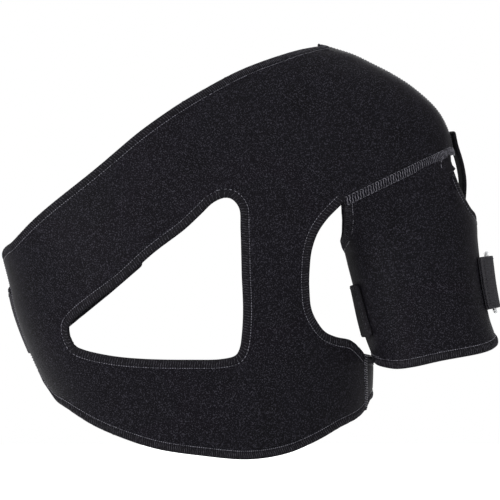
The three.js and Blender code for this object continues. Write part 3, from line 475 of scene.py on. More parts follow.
class Panel:
    """One piece of cloth on a surface, cut out by edges. An edge is a hem or a seam."""

    def __init__(self, cloth, edges, hole=None):
        self.cloth = cloth
        self.edges = edges
        self.hole = hole
        self.outline = np.concatenate([line[:-1] for _, line in edges])
        self.hems = [line for kind, line in edges if kind == "hem"]
        if hole is not None:
            self.hems.append(hole)

    def loops(self):
        return [self.outline] if self.hole is None else [self.outline, self.hole[:-1]]

    def inside(self, uv):
        """Which places lie inside the outline and outside the hole."""
        result = np.zeros(len(uv), bool)
        for loop in self.loops():
            ahead = np.roll(loop, -1, axis=0)
            for (u0, v0), (u1, v1) in zip(loop, ahead):
                if v0 == v1:
                    continue
                crosses = (v0 > uv[:, 1]) != (v1 > uv[:, 1])
                result ^= crosses & (uv[:, 0] < (u1 - u0) * (uv[:, 1] - v0) / (v1 - v0) + u0)
        return result

    def edge_distance(self, points, lines, pitch=1.0):
        """How far each point lies from the nearest of these edges, in millimetres."""
        dense = np.concatenate([self.cloth.point(even_steps(line, pitch)) for line in lines])
        tree = KDTree(len(dense))
        for i, point in enumerate(dense):
            tree.insert(point, i)
        tree.balance()
        return np.array([tree.find(point)[2] for point in points])

    def triangles(self):
        """Places and triangles of the panel, finer beside its edges."""
        loops = self.loops()
        places = [np.concatenate(loops)]
        links = []
        start = 0
        for loop in loops:
            count = len(loop)
            links += [(start + i, start + (i + 1) % count) for i in range(count)]
            start += count
        lines = [line for kind, line in self.edges if kind != "cut"]
        if self.hole is not None:
            lines.append(self.hole)
        for line in lines:
            for side in (1, -1):
                for row in EDGE_ROWS:
                    places.append(self.beside(line, side * row))
        low = self.outline.min(axis=0)
        high = self.outline.max(axis=0)
        rows = np.arange(low[1], high[1], CELL * math.sqrt(3) / 2)
        for i, v in enumerate(rows):
            u = np.arange(low[0] + (i % 2) * CELL / 2, high[0], CELL)
            places.append(np.stack([u, np.full(len(u), v)], axis=1))
        rest = np.concatenate(places[1:])
        rest = rest[self.inside(rest)]
        near = self.edge_distance(self.cloth.point(rest), lines)
        order = np.argsort(near)
        rest = rest[order]
        near = near[order]
        kept = self.thinned(rest, near)
        everything = np.concatenate([places[0], kept])
        result = delaunay_2d_cdt([Vector(place) for place in everything], links, [], 0, 1e-4, True)
        uv = np.array([tuple(vert) for vert in result[0]])
        faces = np.array(result[2])
        middles = uv[faces].mean(axis=1)
        return uv, faces[self.inside(middles)]

    def beside(self, line, distance):
        """A line moved sideways in the surface, in steps that suit its distance."""
        line = even_steps(line, EDGE_STEP if abs(distance) < 5 else 3.4)
        points = self.cloth.point(line)
        along = unit(np.gradient(points, axis=0))
        inward = np.cross(self.cloth.normal(line), along)
        return self.cloth.shifted(line, inward, distance)

    def thinned(self, places, near):
        """Drops places that crowd one another or lie too near the border."""
        points = self.cloth.point(places)
        rows = np.array(EDGE_ROWS)
        on_row = np.abs(near[:, None] - rows[None, :]).min(axis=1) < 0.16
        kept = (near > 11.5) | (on_row & (near > 0.3))
        places = places[kept]
        points = points[kept]
        tight = np.where(near[kept] > 11.5, 2.4, 0.55 + 0.1 * near[kept])
        tree = KDTree(len(points))
        for i, point in enumerate(points):
            tree.insert(point, i)
        tree.balance()
        dropped = np.zeros(len(points), bool)
        for i, point in enumerate(points):
            if dropped[i]:
                continue
            for _, other, _ in tree.find_range(point, tight[i]):
                if other > i:
                    dropped[other] = True
        return places[~dropped]

    def outward_lift(self, to_edge, to_hem):
        """The outer face's height: a round rim, a full overlocked hem and a pressed stitch line."""
        half = WALL / 2
        rim = half * (np.sqrt(1 - (1 - np.minimum(to_edge / half, 1)) ** 2) - 1)
        hem = 0.38 * np.sin(math.pi * np.clip(to_hem / HEM_WIDTH, 0, 1)) ** 0.6
        groove = -0.75 * np.exp(-(((to_hem - GROOVE_AT) / 0.9) ** 2))
        return rim + hem + groove


def body_cloth():
    return Cloth(body_surface, body_section, -0.034 * BODY_HEIGHT, 1.006 * BODY_HEIGHT)


def sleeve_cloth():
    top = SLEEVE_TOP + 0.06 * SLEEVE_DROP
    return Cloth(sleeve_surface, sleeve_section, SLEEVE_TOP - 1.06 * SLEEVE_DROP, top)


BODY = body_cloth()
SLEEVE = sleeve_cloth()


class Track:
    """A line along a surface, by length: places beside it and above it."""

    def __init__(self, surface, turns, heights):
        self.surface = surface
        self.turns = np.asarray(turns, float)
        self.heights = np.asarray(heights, float)
        steps = np.linalg.norm(np.diff(surface(self.turns, self.heights), axis=0), axis=1)
        self.lengths = np.concatenate([[0], np.cumsum(steps)])

    def reach(self, length, values):
        inside = np.interp(length, self.lengths, values)
        first = (values[1] - values[0]) / (self.lengths[1] - self.lengths[0])
        last = (values[-1] - values[-2]) / (self.lengths[-1] - self.lengths[-2])
        before = np.minimum(length, 0) * first
        after = np.maximum(length - self.lengths[-1], 0) * last
        return inside + before + after

    def at(self, length):
        return self.reach(length, self.turns), self.reach(length, self.heights)

    def place(self, length, aside, lift):
        length, aside, lift = np.broadcast_arrays(length, aside, lift)
        turn, z = self.at(length)
        forward = unit(self.surface(*self.at(length + 2)) - self.surface(*self.at(length - 2)))
        out = surface_normal(self.surface, turn, z)
        across = np.cross(forward, out)
        turn_step = self.surface(turn + SMALL_TURN, z) - self.surface(turn - SMALL_TURN, z)
        rise_step = self.surface(turn, z + SMALL_RISE) - self.surface(turn, z - SMALL_RISE)
        moved_turn = aside * (across * turn_step).sum(-1) * 2 * SMALL_TURN / (turn_step ** 2).sum(-1)
        moved_z = aside * (across * rise_step).sum(-1) * 2 * SMALL_RISE / (rise_step ** 2).sum(-1)
        return lifted(self.surface, turn + moved_turn, z + moved_z, lift)


TRACK_STEP = 9
FLANK_STEPS = 8
ARM_TRACK_STEPS = 40


def back_track():
    """Down the back, then round the free flank to the front panel's end."""
    knots = [on_body(row) for row in BACK_STRAP_LINE]
    line = smooth_line(knots, TRACK_STEP)
    turns = list(BODY.turn_at(line[:, 0], line[:, 1], rear=True))
    heights = list(line[:, 1])
    ring_z = FLANK_RING_UP * BODY_HEIGHT
    last_turn = turns[-1]
    last_z = heights[-1]
    for i in range(1, FLANK_STEPS + 1):
        turns.append(last_turn + (math.pi - last_turn) * i / FLANK_STEPS)
        heights.append(last_z + (ring_z - last_z) * i / FLANK_STEPS)
    turns.append(math.pi - PAST_FLANK)
    heights.append(ring_z - FLANK_RING_LEAN * PAST_FLANK * BACK_DEPTH / 2)
    track = Track(body_surface, turns, heights)
    track.flank = track.lengths[-2]
    return track


def arm_track():
    """Round the sleeve, from the strap's start to a little past the ring."""
    turns = np.linspace(ARM_STRAP_START, ARM_RING_PLACE + math.pi / 4, ARM_TRACK_STEPS + 1)
    middle = SLEEVE_TOP - ARM_STRAP_DOWN * SLEEVE_DROP
    aside = sleeve_surface(turns, np.full(len(turns), middle))[:, 0] - SLEEVE_AXIS
    track = Track(sleeve_surface, turns, middle + ARM_STRAP_RISE * aside)
    track.ring_at = track.lengths[np.argmax(turns >= ARM_RING_PLACE)]
    return track


BACK_TRACK = back_track()
ARM_TRACK = arm_track()


END_TURNS = (2.6, 3.8)  # the front panel's end lies between these
END_HALVINGS = 30


def free_end_turn(z):
    """The turn at which the front panel ends at the free flank, square to the back strap."""
    flank = BACK_TRACK.flank
    middle = BACK_TRACK.place(flank, 0.0, 0.0)
    along = unit(BACK_TRACK.place(flank + 1, 0.0, 0.0) - BACK_TRACK.place(flank - 1, 0.0, 0.0))
    low, high = END_TURNS
    for _ in range(END_HALVINGS):
        turn = (low + high) / 2
        if (body_surface(np.array(turn), np.array(z)) - middle) @ along > FREE_END:
            low = turn
        else:
            high = turn
    return low


def crest_turn(z):
    """How far behind the arm-side silhouette the crest seam lies, as a turn."""
    back = body_section(z)["back"]
    return math.asin((CREST_SEAM / back) ** (SECTION_POWER / 2))


def seam_rows(shares, rise=0.0):
    ends = np.array([SEAM_INNER, SEAM_OUTER])
    return [tuple(ends[0] + share * (ends[1] - ends[0]) + np.array([0, rise])) for share in shares]


def front_panel_shape():
    end_heights = np.linspace(PANEL_FOOT, PANEL_CORNER, 7) * BODY_HEIGHT
    end = np.concatenate([BODY.knot(free_end_turn(z), z) for z in end_heights])
    crest_heights = np.linspace(PANEL_TOP, 0.736, 9) * BODY_HEIGHT
    crest = np.concatenate([BODY.knot(-crest_turn(z), z) for z in crest_heights])
    neck = np.concatenate([end[-1:], BODY.knots(NECK_EDGE, on_body), crest[:1]])
    seam = np.concatenate([crest[-1:], BODY.knots(seam_rows((0.995, 0.8, 0.6, 0.4, 0.2, 0)), on_body)])
    armhole = BODY.knots(ARMHOLE_EDGE, on_body)
    side = BODY.knots(SIDE_SEAM, on_body)
    hem = np.concatenate([BODY.knots(LOWER_HEM, on_body), end[:1]])
    edges = [
        ("hem", smooth_line(end, EDGE_STEP)),
        ("hem", smooth_line(neck, EDGE_STEP)),
        ("seam", smooth_line(crest, EDGE_STEP)),
        ("seam", smooth_line(seam, EDGE_STEP)),
        ("hem", smooth_line(armhole, EDGE_STEP)),
        ("seam", smooth_line(side, EDGE_STEP)),
        ("hem", smooth_line(hem, EDGE_STEP)),
    ]
    return Panel(BODY, edges, smooth_line(BODY.knots(CUT_OUT, on_body), EDGE_STEP, closed=True))


def back_panel_shape():
    whole = 2 * math.pi
    low = 0.736 + STRIP_GAP
    crest_heights = np.linspace(low, PANEL_TOP, 9) * BODY_HEIGHT
    crest = np.concatenate([BODY.knot(whole - crest_turn(z), z) for z in crest_heights])
    seam_up = seam_rows((STRIP_GAP_SHARE - 0.05,), STRIP_GAP)
    seam = BODY.knots(seam_rows((0, 0.2, 0.4, 0.6, REAR_SEAM_SHARE)) + seam_up, on_body, rear=True)
    seam = np.concatenate([seam, crest[:1]])
    top_in_front = BODY.knots(FLANK_TOP, on_body, extra_turn=whole)
    armhole = np.concatenate([top_in_front, BODY.knots(REAR_ARMHOLE_EDGE, on_body, rear=True)])
    side = BODY.knots(SIDE_SEAM[::-1], on_body, extra_turn=whole)
    spine = BODY.knots(SPINE_EDGE, on_body, rear=True)
    hem_in_front = BODY.knots(FLANK_HEM, on_body, extra_turn=whole)
    spine = np.concatenate([crest[-1:], spine, hem_in_front])
    edges = [
        ("hem", smooth_line(armhole, EDGE_STEP)),
        ("seam", smooth_line(seam, EDGE_STEP)),
        ("seam", smooth_line(crest, EDGE_STEP)),
        ("hem", smooth_line(spine, EDGE_STEP)),
        ("seam", smooth_line(side, EDGE_STEP)),
    ]
    return Panel(BODY, edges)


def sleeve_shape():
    whole = 2 * math.pi
    foot_z = SLEEVE_TOP - OPENING_FOOT * SLEEVE_DROP
    hem_z = SLEEVE_TOP - HEM_OUTER * SLEEVE_DROP
    inner_z = INNER_EDGE_FOOT * BODY_HEIGHT
    opening_rows = SLEEVE.knots(SLEEVE_FRONT_OPENING[::-1], on_sleeve)
    front_opening = np.concatenate([SLEEVE.knot(0.0, foot_z), opening_rows])
    seam = SLEEVE.knots(seam_rows((0.8, 0.6, 0.4, 0.2, 0), SEAM_LAP), on_body)
    seam = np.concatenate([front_opening[-1:], seam])
    inner_front = SLEEVE.knots(SLEEVE_INNER_EDGE[1:], on_body)
    inner_rear = SLEEVE.knots(SLEEVE_INNER_EDGE[::-1], on_body, rear=True)
    inner = np.concatenate([seam[-1:], inner_front, SLEEVE.knot(math.pi, inner_z), inner_rear])
    rear_seam = SLEEVE.knots(seam_rows((0, 0.2, 0.4, 0.6, REAR_SEAM_SHARE), SEAM_LAP), on_body, rear=True)
    rear_seam[0] = inner[-1]
    rear_opening = SLEEVE.knots(SLEEVE_REAR_OPENING, on_sleeve, rear=True)
    rear_opening = np.concatenate([rear_seam[-1:], rear_opening, SLEEVE.knot(whole, foot_z)])
    down = np.concatenate([SLEEVE.knot(whole, foot_z), SLEEVE.knot(whole, hem_z)])
    inner_hem_z = SLEEVE_TOP - HEM_INNER * SLEEVE_DROP
    hem = np.concatenate([
        SLEEVE.knot(whole, hem_z),
        SLEEVE.knots(SLEEVE_HEM, on_sleeve, rear=True),
        SLEEVE.knot(math.pi, inner_hem_z),
        SLEEVE.knots(SLEEVE_HEM[::-1], on_sleeve),
        SLEEVE.knot(0.0, hem_z),
    ])
    up = np.concatenate([SLEEVE.knot(0.0, hem_z), SLEEVE.knot(0.0, foot_z)])
    edges = [
        ("hem", smooth_line(front_opening, EDGE_STEP)),
        ("seam", smooth_line(seam, EDGE_STEP)),
        ("hem", smooth_line(inner, EDGE_STEP)),
        ("seam", smooth_line(rear_seam, EDGE_STEP)),
        ("hem", smooth_line(rear_opening, EDGE_STEP)),
        ("cut", even_steps(down, EDGE_STEP)),
        ("hem", smooth_line(hem, EDGE_STEP)),
        ("cut", even_steps(up, EDGE_STEP)),
    ]
    return Panel(SLEEVE, edges)


FRONT_PANEL = front_panel_shape()
BACK_PANEL = back_panel_shape()
ARM_SLEEVE = sleeve_shape()


def mesh_object(name, points, faces, material, crease=60):
    """A new object from points in brace millimetres."""
    mesh = bpy.data.meshes.new(name)
    mesh.from_pydata([tuple(point) for point in to_row(points)], [], faces)
    piece = bpy.data.objects.new(name, mesh)
    bpy.context.scene.collection.objects.link(piece)
    bm = bmesh.new()
    bm.from_mesh(mesh)
    bmesh.ops.recalc_face_normals(bm, faces=bm.faces[:])
    bm.to_mesh(mesh)
    bm.free()
    mesh.materials.append(material)
    mesh.shade_smooth()
    deselect()
    piece.select_set(True)
    bpy.context.view_layer.objects.active = piece
    bpy.ops.object.shade_smooth_by_angle(angle=math.radians(crease))
    return piece


def deselect():
    for other in bpy.context.selected_objects:
        other.select_set(False)


HEM_BLEND = 0.6  # half the width over which a hem's colour fades out
FAR_FROM_HEM = 30.0


def panel_object(name, panel, material):
    """The panel's outer and inner faces, joined along its round rim."""
    uv, faces = panel.triangles()
    points = panel.cloth.point(uv)
    lines = [line for kind, line in panel.edges if kind != "cut"]
    if panel.hole is not None:
        lines.append(panel.hole)
    to_edge = panel.edge_distance(points, lines)
    to_hem = panel.edge_distance(points, panel.hems)
    same = {}
    target = np.arange(len(uv))
    for i, point in enumerate(np.round(points, 2)):
        key = tuple(point)
        target[i] = same.setdefault(key, i)
    faces = target[faces]
    faces = [tuple(face) for face in faces if len(set(face)) == 3]
    sides = {}
    for face in faces:
        for a, b in zip(face, face[1:] + face[:1]):
            sides[(min(a, b), max(a, b))] = sides.get((min(a, b), max(a, b)), 0) + 1
    rim = {vert for side, count in sides.items() if count == 1 for vert in side}
    outer = panel.outward_lift(to_edge, to_hem)
    half = WALL / 2
    inner = -WALL + half * (1 - np.sqrt(1 - (1 - np.minimum(to_edge / half, 1)) ** 2))
    count = len(uv)
    top = panel.cloth.point(uv, outer)
    under = panel.cloth.point(uv, inner)
    rim_list = sorted(rim)
    top[rim_list] = panel.cloth.point(uv[rim_list], -half)
    below = {i: (i if i in rim else count + i) for i in range(count)}
    used = sorted({v for face in faces for v in face} | {below[v] for face in faces for v in face})
    place = {v: i for i, v in enumerate(used)}
    all_points = np.concatenate([top, under])[used]
    result = [tuple(place[v] for v in face) for face in faces]
    result += [tuple(place[below[v]] for v in reversed(face)) for face in faces]
    piece = mesh_object(name, all_points, result, material, crease=80)
    to_rim = np.concatenate([to_hem, np.full(count, FAR_FROM_HEM)])[used]
    hem_share = 1 - smooth_step(to_rim, HEM_WIDTH - HEM_BLEND, HEM_WIDTH + HEM_BLEND)
    layer = piece.data.attributes.new("hem", "FLOAT", "POINT")
    layer.data.foreach_set("value", hem_share.astype(np.float32))
    return piece


def threads(name, runs, radius, material, sides=5):
    """Short threads, each a thin tube through its points, with closed and rounded ends."""
    points = []
    faces = []
    for run in runs:
        run = np.asarray(run)
        along = unit(np.gradient(run, axis=0))
        first = unit(np.cross(along, np.array([0.31, 0.52, 0.79])))
        second = np.cross(along, first)
        start = len(points)
        count = len(run)
        girth = np.full(count, radius)
        girth[0] = girth[-1] = radius * 0.45
        for i in range(count):
            for k in range(sides):
                angle = 2 * math.pi * k / sides
                outwards = math.cos(angle) * first[i] + math.sin(angle) * second[i]
                points.append(run[i] + girth[i] * outwards)
        for i in range(count - 1):
            for k in range(sides):
                a = start + i * sides + k
                b = start + i * sides + (k + 1) % sides
                faces.append((a, b, b + sides, a + sides))
        faces.append(tuple(start + k for k in range(sides)))
        faces.append(tuple(start + (count - 1) * sides + k for k in reversed(range(sides))))
    return mesh_object(name, np.array(points), faces, material)


THREAD_STEP = 0.8  # along a hem: three steps from one thread to the next
THREAD_REACHES = (0.35, 1.4, 3.2, 5.0, 6.7)
THREAD_LIFTS = (-0.35, 0.16, 0.46, 0.42, 0.12)
LONGEST_STEP = 2.6  # a thread with a longer one is torn by a fold and left out
SHORTEST_STEP = 0.2


def hem_threads(panel):
    """Overlock threads across each hem, and the line of stitches beside it."""
    runs = []
    dashes = []
    for line in panel.hems:
        line = even_steps(line, THREAD_STEP)
        points = panel.cloth.point(line)
        along = unit(np.gradient(points, axis=0))
        inward = np.cross(panel.cloth.normal(line), along)
        probe = panel.cloth.shifted(line, inward, np.full(len(line), 2.0))
        if panel.inside(probe).mean() < 0.5:
            inward = -inward
        rows = [panel.cloth.shifted(line, inward, np.full(len(line), reach)) for reach in THREAD_REACHES]
        rows = [panel.cloth.point(row, lift) for row, lift in zip(rows, THREAD_LIFTS)]
        stitch = panel.cloth.shifted(line, inward, np.full(len(line), GROOVE_AT))
        stitch = panel.cloth.point(stitch, -0.05)
        gaps = np.linalg.norm(np.gradient(stitch, axis=0), axis=1)
        steady = (gaps > SHORTEST_STEP) & (gaps < LONGEST_STEP)
        for i in range(0, len(line) - 3, 3):
            run = np.array([rows[k][i + (k + 1) // 2] for k in range(5)])
            if np.linalg.norm(np.diff(run, axis=0), axis=1).max() < LONGEST_STEP:
                runs.append(run)
        for i in range(1, len(line) - 3, 3):
            if steady[i : i + 3].all():
                dashes.append(stitch[i : i + 3])
    return runs, dashes


def seam_bead(name, cloth, line, inward):
    """The raised, closed ridge of cloth under a flatlock seam."""
    top = ((-3.7, -0.3), (-3.0, 0.12), (-1.6, 0.36), (0.0, 0.44), (1.6, 0.36), (3.0, 0.12), (3.7, -0.3))
    under = ((2.6, -1.3), (0.0, -1.6), (-2.6, -1.3))
    rows = [cloth.point(cloth.shifted(line, inward, np.full(len(line), reach)), lift)
            for reach, lift in top + under]
    count = len(rows)
    points = np.stack(rows, axis=1).reshape(-1, 3)
    faces = []
    for i in range(len(line) - 1):
        for k in range(count):
            a = i * count + k
            b = i * count + (k + 1) % count
            faces.append((a, b, b + count, a + count))
    faces.append(tuple(range(count)))
    faces.append(tuple((len(line) - 1) * count + k for k in reversed(range(count))))
    return mesh_object(name, points, faces, material("neoprene"))


def band(track, line, width, wall, drift=None, fine=2.0):
    """A strap along a side view drawn as (length, lift), with round sides and ends."""
    line = even_steps(np.asarray(line, float), fine)
    corner = min(STRAP_CORNER, width / 4)
    end_steps = np.concatenate([wall * np.array([0.0, 0.08, 0.25, 0.5]), corner * np.array([0.45, 0.7])])
    lengths = np.concatenate([[0], np.cumsum(np.linalg.norm(np.diff(line, axis=0), axis=1))])
    total = lengths[-1]
    between = lengths[(lengths > corner) & (lengths < total - corner)]
    places = np.concatenate([end_steps, between, total - end_steps[::-1]])
    path = np.stack([np.interp(places, lengths, line[:, i]) for i in (0, 1)], axis=1)
    ahead = np.stack([np.interp(places + 0.8, lengths, line[:, i]) for i in (0, 1)], axis=1)
    behind = np.stack([np.interp(places - 0.8, lengths, line[:, i]) for i in (0, 1)], axis=1)
    along = unit(ahead - behind)
    side = np.stack([-along[:, 1], along[:, 0]], axis=1)
    to_end = np.minimum(places, total - places)
    fullness = np.sqrt(np.maximum(1 - (1 - np.minimum(2 * to_end / wall, 1)) ** 2, 0))
    half = wall / 2
    reach = width / 2 - half
    across = np.linspace(-reach, reach, 14)
    turns = np.linspace(0, math.pi, 7)[1:-1]
    ring = [(a, half) for a in across]
    ring += [(reach + half * math.sin(turn), half * math.cos(turn)) for turn in turns]
    ring += [(a, -half) for a in across[::-1]]
    ring += [(-reach - half * math.sin(turn), -half * math.cos(turn)) for turn in turns]
    ring = np.array(ring)
    count = len(ring)
    shift = ring[None, :, 1] * fullness[:, None]
    where = path[:, None, 0] + side[:, None, 0] * shift
    lift = path[:, None, 1] + side[:, None, 1] * shift
    cut = corner * (1 - np.sqrt(1 - (1 - np.minimum(to_end / corner, 1)) ** 2))
    aside = ring[None, :, 0] * (1 - 2 * cut / width)[:, None]
    if drift is not None:
        aside = aside + drift(places, total)[:, None]
    points = track.place(where, aside, lift).reshape(-1, 3)
    faces = []
    for i in range(len(places) - 1):
        for k in range(count):
            a = i * count + k
            b = i * count + (k + 1) % count
            faces.append((a, b, b + count, a + count))
    return points, faces


STITCH = np.array([0.0, 1.1, 2.2])  # the points of one stitch
STITCH_STEP = 3.4
STITCH_FROM_SIDE = 2.6
END_ROWS = (3.2, 6.4)


def strap_stitches(track, line, width, wall, drift=None):
    """Stitch rows along a strap's sides and across its ends, on both of its faces."""
    line = even_steps(np.asarray(line, float), 1.1)
    along = unit(np.gradient(line, axis=0))
    lengths = np.concatenate([[0], np.cumsum(np.linalg.norm(np.diff(line, axis=0), axis=1))])
    total = lengths[-1]
    runs = []

    def dash(places, asides, face):
        path = np.stack([np.interp(places, lengths, line[:, i]) for i in (0, 1)], axis=1)
        way = np.stack([np.interp(places, lengths, along[:, i]) for i in (0, 1)], axis=1)
        height = face * (wall / 2 + 0.1)
        if drift is not None:
            asides = asides + drift(places, total)
        runs.append(track.place(path[:, 0] - way[:, 1] * height, asides, path[:, 1] + way[:, 0] * height))

    for side in (-1, 1):
        for start in np.arange(STRAP_CORNER, total - STRAP_CORNER - 3, STITCH_STEP):
            for face in (1, -1):
                dash(start + STITCH, np.full(3, side * (width / 2 - STITCH_FROM_SIDE)), face)
    for place in END_ROWS + tuple(total - row for row in END_ROWS):
        for start in np.arange(-width / 2 + 4, width / 2 - 6, STITCH_STEP):
            for face in (-1, 1):
                dash(np.full(3, place), start + STITCH, face)
    return runs


def band_object(name, track, line, width, wall, material, drift=None):
    points, faces = band(track, line, width, wall, drift)
    piece = mesh_object(name, points, faces, material)
    bm = bmesh.new()
    bm.from_mesh(piece.data)
    bmesh.ops.remove_doubles(bm, verts=bm.verts[:], dist=2e-6)
    bmesh.ops.holes_fill(bm, edges=[edge for edge in bm.edges if edge.is_boundary])
    bmesh.ops.recalc_face_normals(bm, faces=bm.faces[:])
    bm.to_mesh(piece.data)
    bm.free()
    return piece


def bend_round(bar, lift, radius, way):
    """The half circle that a strap makes round a ring's bar, with a short lead on each side."""
    turns = np.linspace(-math.pi / 2, math.pi / 2, 13)
    bend = [(bar + way * radius * math.cos(t), lift + radius * math.sin(t)) for t in turns]
    lead = bar - way * RING_BAR
    return [(lead, lift - radius)] + bend + [(lead, lift + radius)]


RING_HOLD = math.hypot(RING_BAR, RING_PLATE) / 2 + BEND_PLAY
BAR_FROM_MIDDLE = (RING_SLOT + RING_BAR) / 2


def back_lifts():
    on_skin = -WALL + STRAP_WALL / 2
    return on_skin, on_skin + STRAP_WALL / 2 + RING_HOLD - RING_SINK


def back_strap_line():
    on_skin, ring_lift = back_lifts()
    on_panel = STRAP_SEAT + STRAP_WALL / 2
    bar = BACK_TRACK.flank - 2 * BAR_FROM_MIDDLE - KEEPER_RISE
    landing = PANEL_LANDING * BACK_TRACK.flank
    ramp = 3 * RING_SLOT
    over = on_skin + STRAP_WALL + CLEARANCE
    lower = [(0, on_panel), (landing + ramp, on_panel), (landing + 2 * ramp, on_skin)]
    upper = [(bar - ramp, over), (bar - BACK_STRAP_FOLD, over)]
    return lower + bend_round(bar, ring_lift, RING_HOLD + STRAP_WALL / 2, 1) + upper


def flank_keeper_line():
    _, ring_lift = back_lifts()
    bar = BACK_TRACK.flank - KEEPER_RISE
    foot = BACK_TRACK.flank + KEEPER_LENGTH
    under = -WALL - STRAP_SEAT - WEBBING_WALL / 2
    deeper = under - WEBBING_WALL - CLEARANCE
    lower = [(foot, deeper), (BACK_TRACK.flank, deeper)]
    upper = [(BACK_TRACK.flank, under), (foot, under)]
    return lower + bend_round(bar, ring_lift, RING_HOLD + WEBBING_WALL / 2, -1) + upper


def arm_lifts():
    low = STRAP_SEAT + STRAP_WALL / 2
    return low, low + STRAP_WALL / 2 + RING_HOLD


def arm_strap_line():
    low, ring_lift = arm_lifts()
    bar = ARM_TRACK.ring_at - BAR_FROM_MIDDLE
    over = low + STRAP_WALL + CLEARANCE
    upper = [(bar - 2 * RING_SLOT, over), (bar - ARM_STRAP_FOLD, over)]
    return [(0, low)] + bend_round(bar, ring_lift, RING_HOLD + STRAP_WALL / 2, 1) + upper


def arm_keeper_line():
    _, ring_lift = arm_lifts()
    bar = ARM_TRACK.ring_at + BAR_FROM_MIDDLE
    foot = bar + KEEPER_LENGTH
    web = STRAP_SEAT + WEBBING_WALL / 2
    over = web + WEBBING_WALL + CLEARANCE
    lower = [(foot, web), (bar + RING_SLOT, web)]
    upper = [(foot - RING_BAR, over), (foot, over)]
    return lower + bend_round(bar, ring_lift, RING_HOLD + WEBBING_WALL / 2, -1) + upper


def linear(hex_colour):
    """An sRGB hex colour as linear values."""
    parts = [int(hex_colour[i : i + 2], 16) / 255 for i in (0, 2, 4)]
    return [part / 12.92 if part <= 0.04045 else ((part + 0.055) / 1.055) ** 2.4 for part in parts] + [1.0]


class Shader:
    """A new material with one Principled shader, and a short way to add nodes to it."""

    def __init__(self, name, roughness, sheen=0.0, coat=0.0, gloss=0.5):
        self.material = bpy.data.materials.new(name)
        self.material.use_nodes = True
        self.tree = self.material.node_tree
        self.shader = self.tree.nodes["Principled BSDF"]
        self.shader.inputs["Roughness"].default_value = roughness
        self.shader.inputs["Specular IOR Level"].default_value = gloss
        self.shader.inputs["Sheen Weight"].default_value = sheen
        self.shader.inputs["Coat Weight"].default_value = coat

    def add(self, kind, values=(), **settings):
        node = self.tree.nodes.new(kind)
        for key, value in settings.items():
            setattr(node, key, value)
        for socket, value in dict(values).items():
            if isinstance(value, bpy.types.NodeSocket):
                self.tree.links.new(value, node.inputs[socket])
            else:
                node.inputs[socket].default_value = value
        return node

    def link(self, output, name):
        self.tree.links.new(output, self.shader.inputs[name])

    def noise(self, size_mm, detail=2.0):
        where = self.add("ShaderNodeTexCoord").outputs["Object"]
        values = {"Vector": where, "Scale": 1 / (size_mm * MM), "Detail": detail}
        return self.add("ShaderNodeTexNoise", values)

    def mixed(self, factor, low, high):
        node = self.add("ShaderNodeMix", data_type="RGBA")
        self.tree.links.new(factor, node.inputs["Factor"])
        for socket, value in ((node.inputs[6], low), (node.inputs[7], high)):
            if isinstance(value, bpy.types.NodeSocket):
                self.tree.links.new(value, socket)
            else:
                socket.default_value = value
        return node.outputs[2]

    def ranged(self, value, low, high):
        values = {"Value": value, "From Min": low, "From Max": high}
        return self.add("ShaderNodeMapRange", values).outputs[0]


def neoprene_material(colours):
    """Foam rubber faced with a fine black knit, flecked with lighter fibres; hems of thread."""
    kit = Shader("speckled neoprene knit", 0.6, sheen=0.003, gloss=0.03)
    kit.shader.inputs["Sheen Roughness"].default_value = 0.5
    fleck = kit.ranged(kit.noise(1.0, 2.0).outputs["Fac"], 0.54, 0.66)
    wide = kit.ranged(kit.noise(22, 2.0).outputs["Fac"], 0.3, 0.7)
    base = kit.mixed(wide, linear(colours.neoprene_dark), linear(colours.neoprene))
    knit = kit.mixed(fleck, base, linear(colours.fleck))
    hem = kit.add("ShaderNodeAttribute", attribute_name="hem").outputs["Fac"]
    kit.link(kit.mixed(hem, knit, linear(colours.hem)), "Base Color")
    fine = kit.noise(1.1, 3.0).outputs["Fac"]
    coarse = kit.noise(3.2).outputs["Fac"]
    height = kit.add("ShaderNodeMath", {0: fine, 1: coarse})
    bump = kit.add("ShaderNodeBump", {"Height": height.outputs[0], "Strength": 0.5, "Distance": 0.25 * MM})
    kit.link(bump.outputs["Normal"], "Normal")
    return kit.material


def strap_material(colours):
    """Brushed loop fabric: matt, rough and nearly black."""
    kit = Shader("brushed loop fabric", 0.9, sheen=0.006, gloss=0.05)
    fibre = kit.ranged(kit.noise(0.9, 4.0).outputs["Fac"], 0.42, 0.7)
    kit.link(kit.mixed(fibre, linear(colours.strap), linear(colours.strap_fibre)), "Base Color")
    bump = kit.add("ShaderNodeBump", {"Height": kit.noise(0.9, 4.0).outputs["Fac"], "Strength": 0.9,
                                      "Distance": 0.5 * MM})
    kit.link(bump.outputs["Normal"], "Normal")
    return kit.material


def webbing_material(colours):
    """Woven webbing: rows of ribs with lighter yarns."""
    kit = Shader("woven webbing", 0.6, sheen=0.006, gloss=0.12)
    where = kit.add("ShaderNodeTexCoord").outputs["Object"]
    ribs = kit.add("ShaderNodeTexWave", {"Vector": where, "Scale": 1 / (7 * MM), "Distortion": 1.5,
                                         "Detail Scale": 3.0}, bands_direction="Z")
    yarn = kit.ranged(kit.noise(0.8, 3.0).outputs["Fac"], 0.4, 0.7)
    kit.link(kit.mixed(yarn, linear(colours.webbing), linear(colours.webbing_yarn)), "Base Color")
    bump = kit.add("ShaderNodeBump", {"Height": ribs.outputs["Fac"], "Strength": 0.6, "Distance": 0.4 * MM})
    kit.link(bump.outputs["Normal"], "Normal")
    return kit.material


def thread_material(colours):
    """Spun polyester thread, a little lighter than the knit."""
    kit = Shader("polyester thread", 0.45, sheen=0.006, gloss=0.2)
    tone = kit.ranged(kit.noise(2.5, 2.0).outputs["Fac"], 0.35, 0.65)
    kit.link(kit.mixed(tone, linear(colours.thread_dark), linear(colours.thread)), "Base Color")
    return kit.material


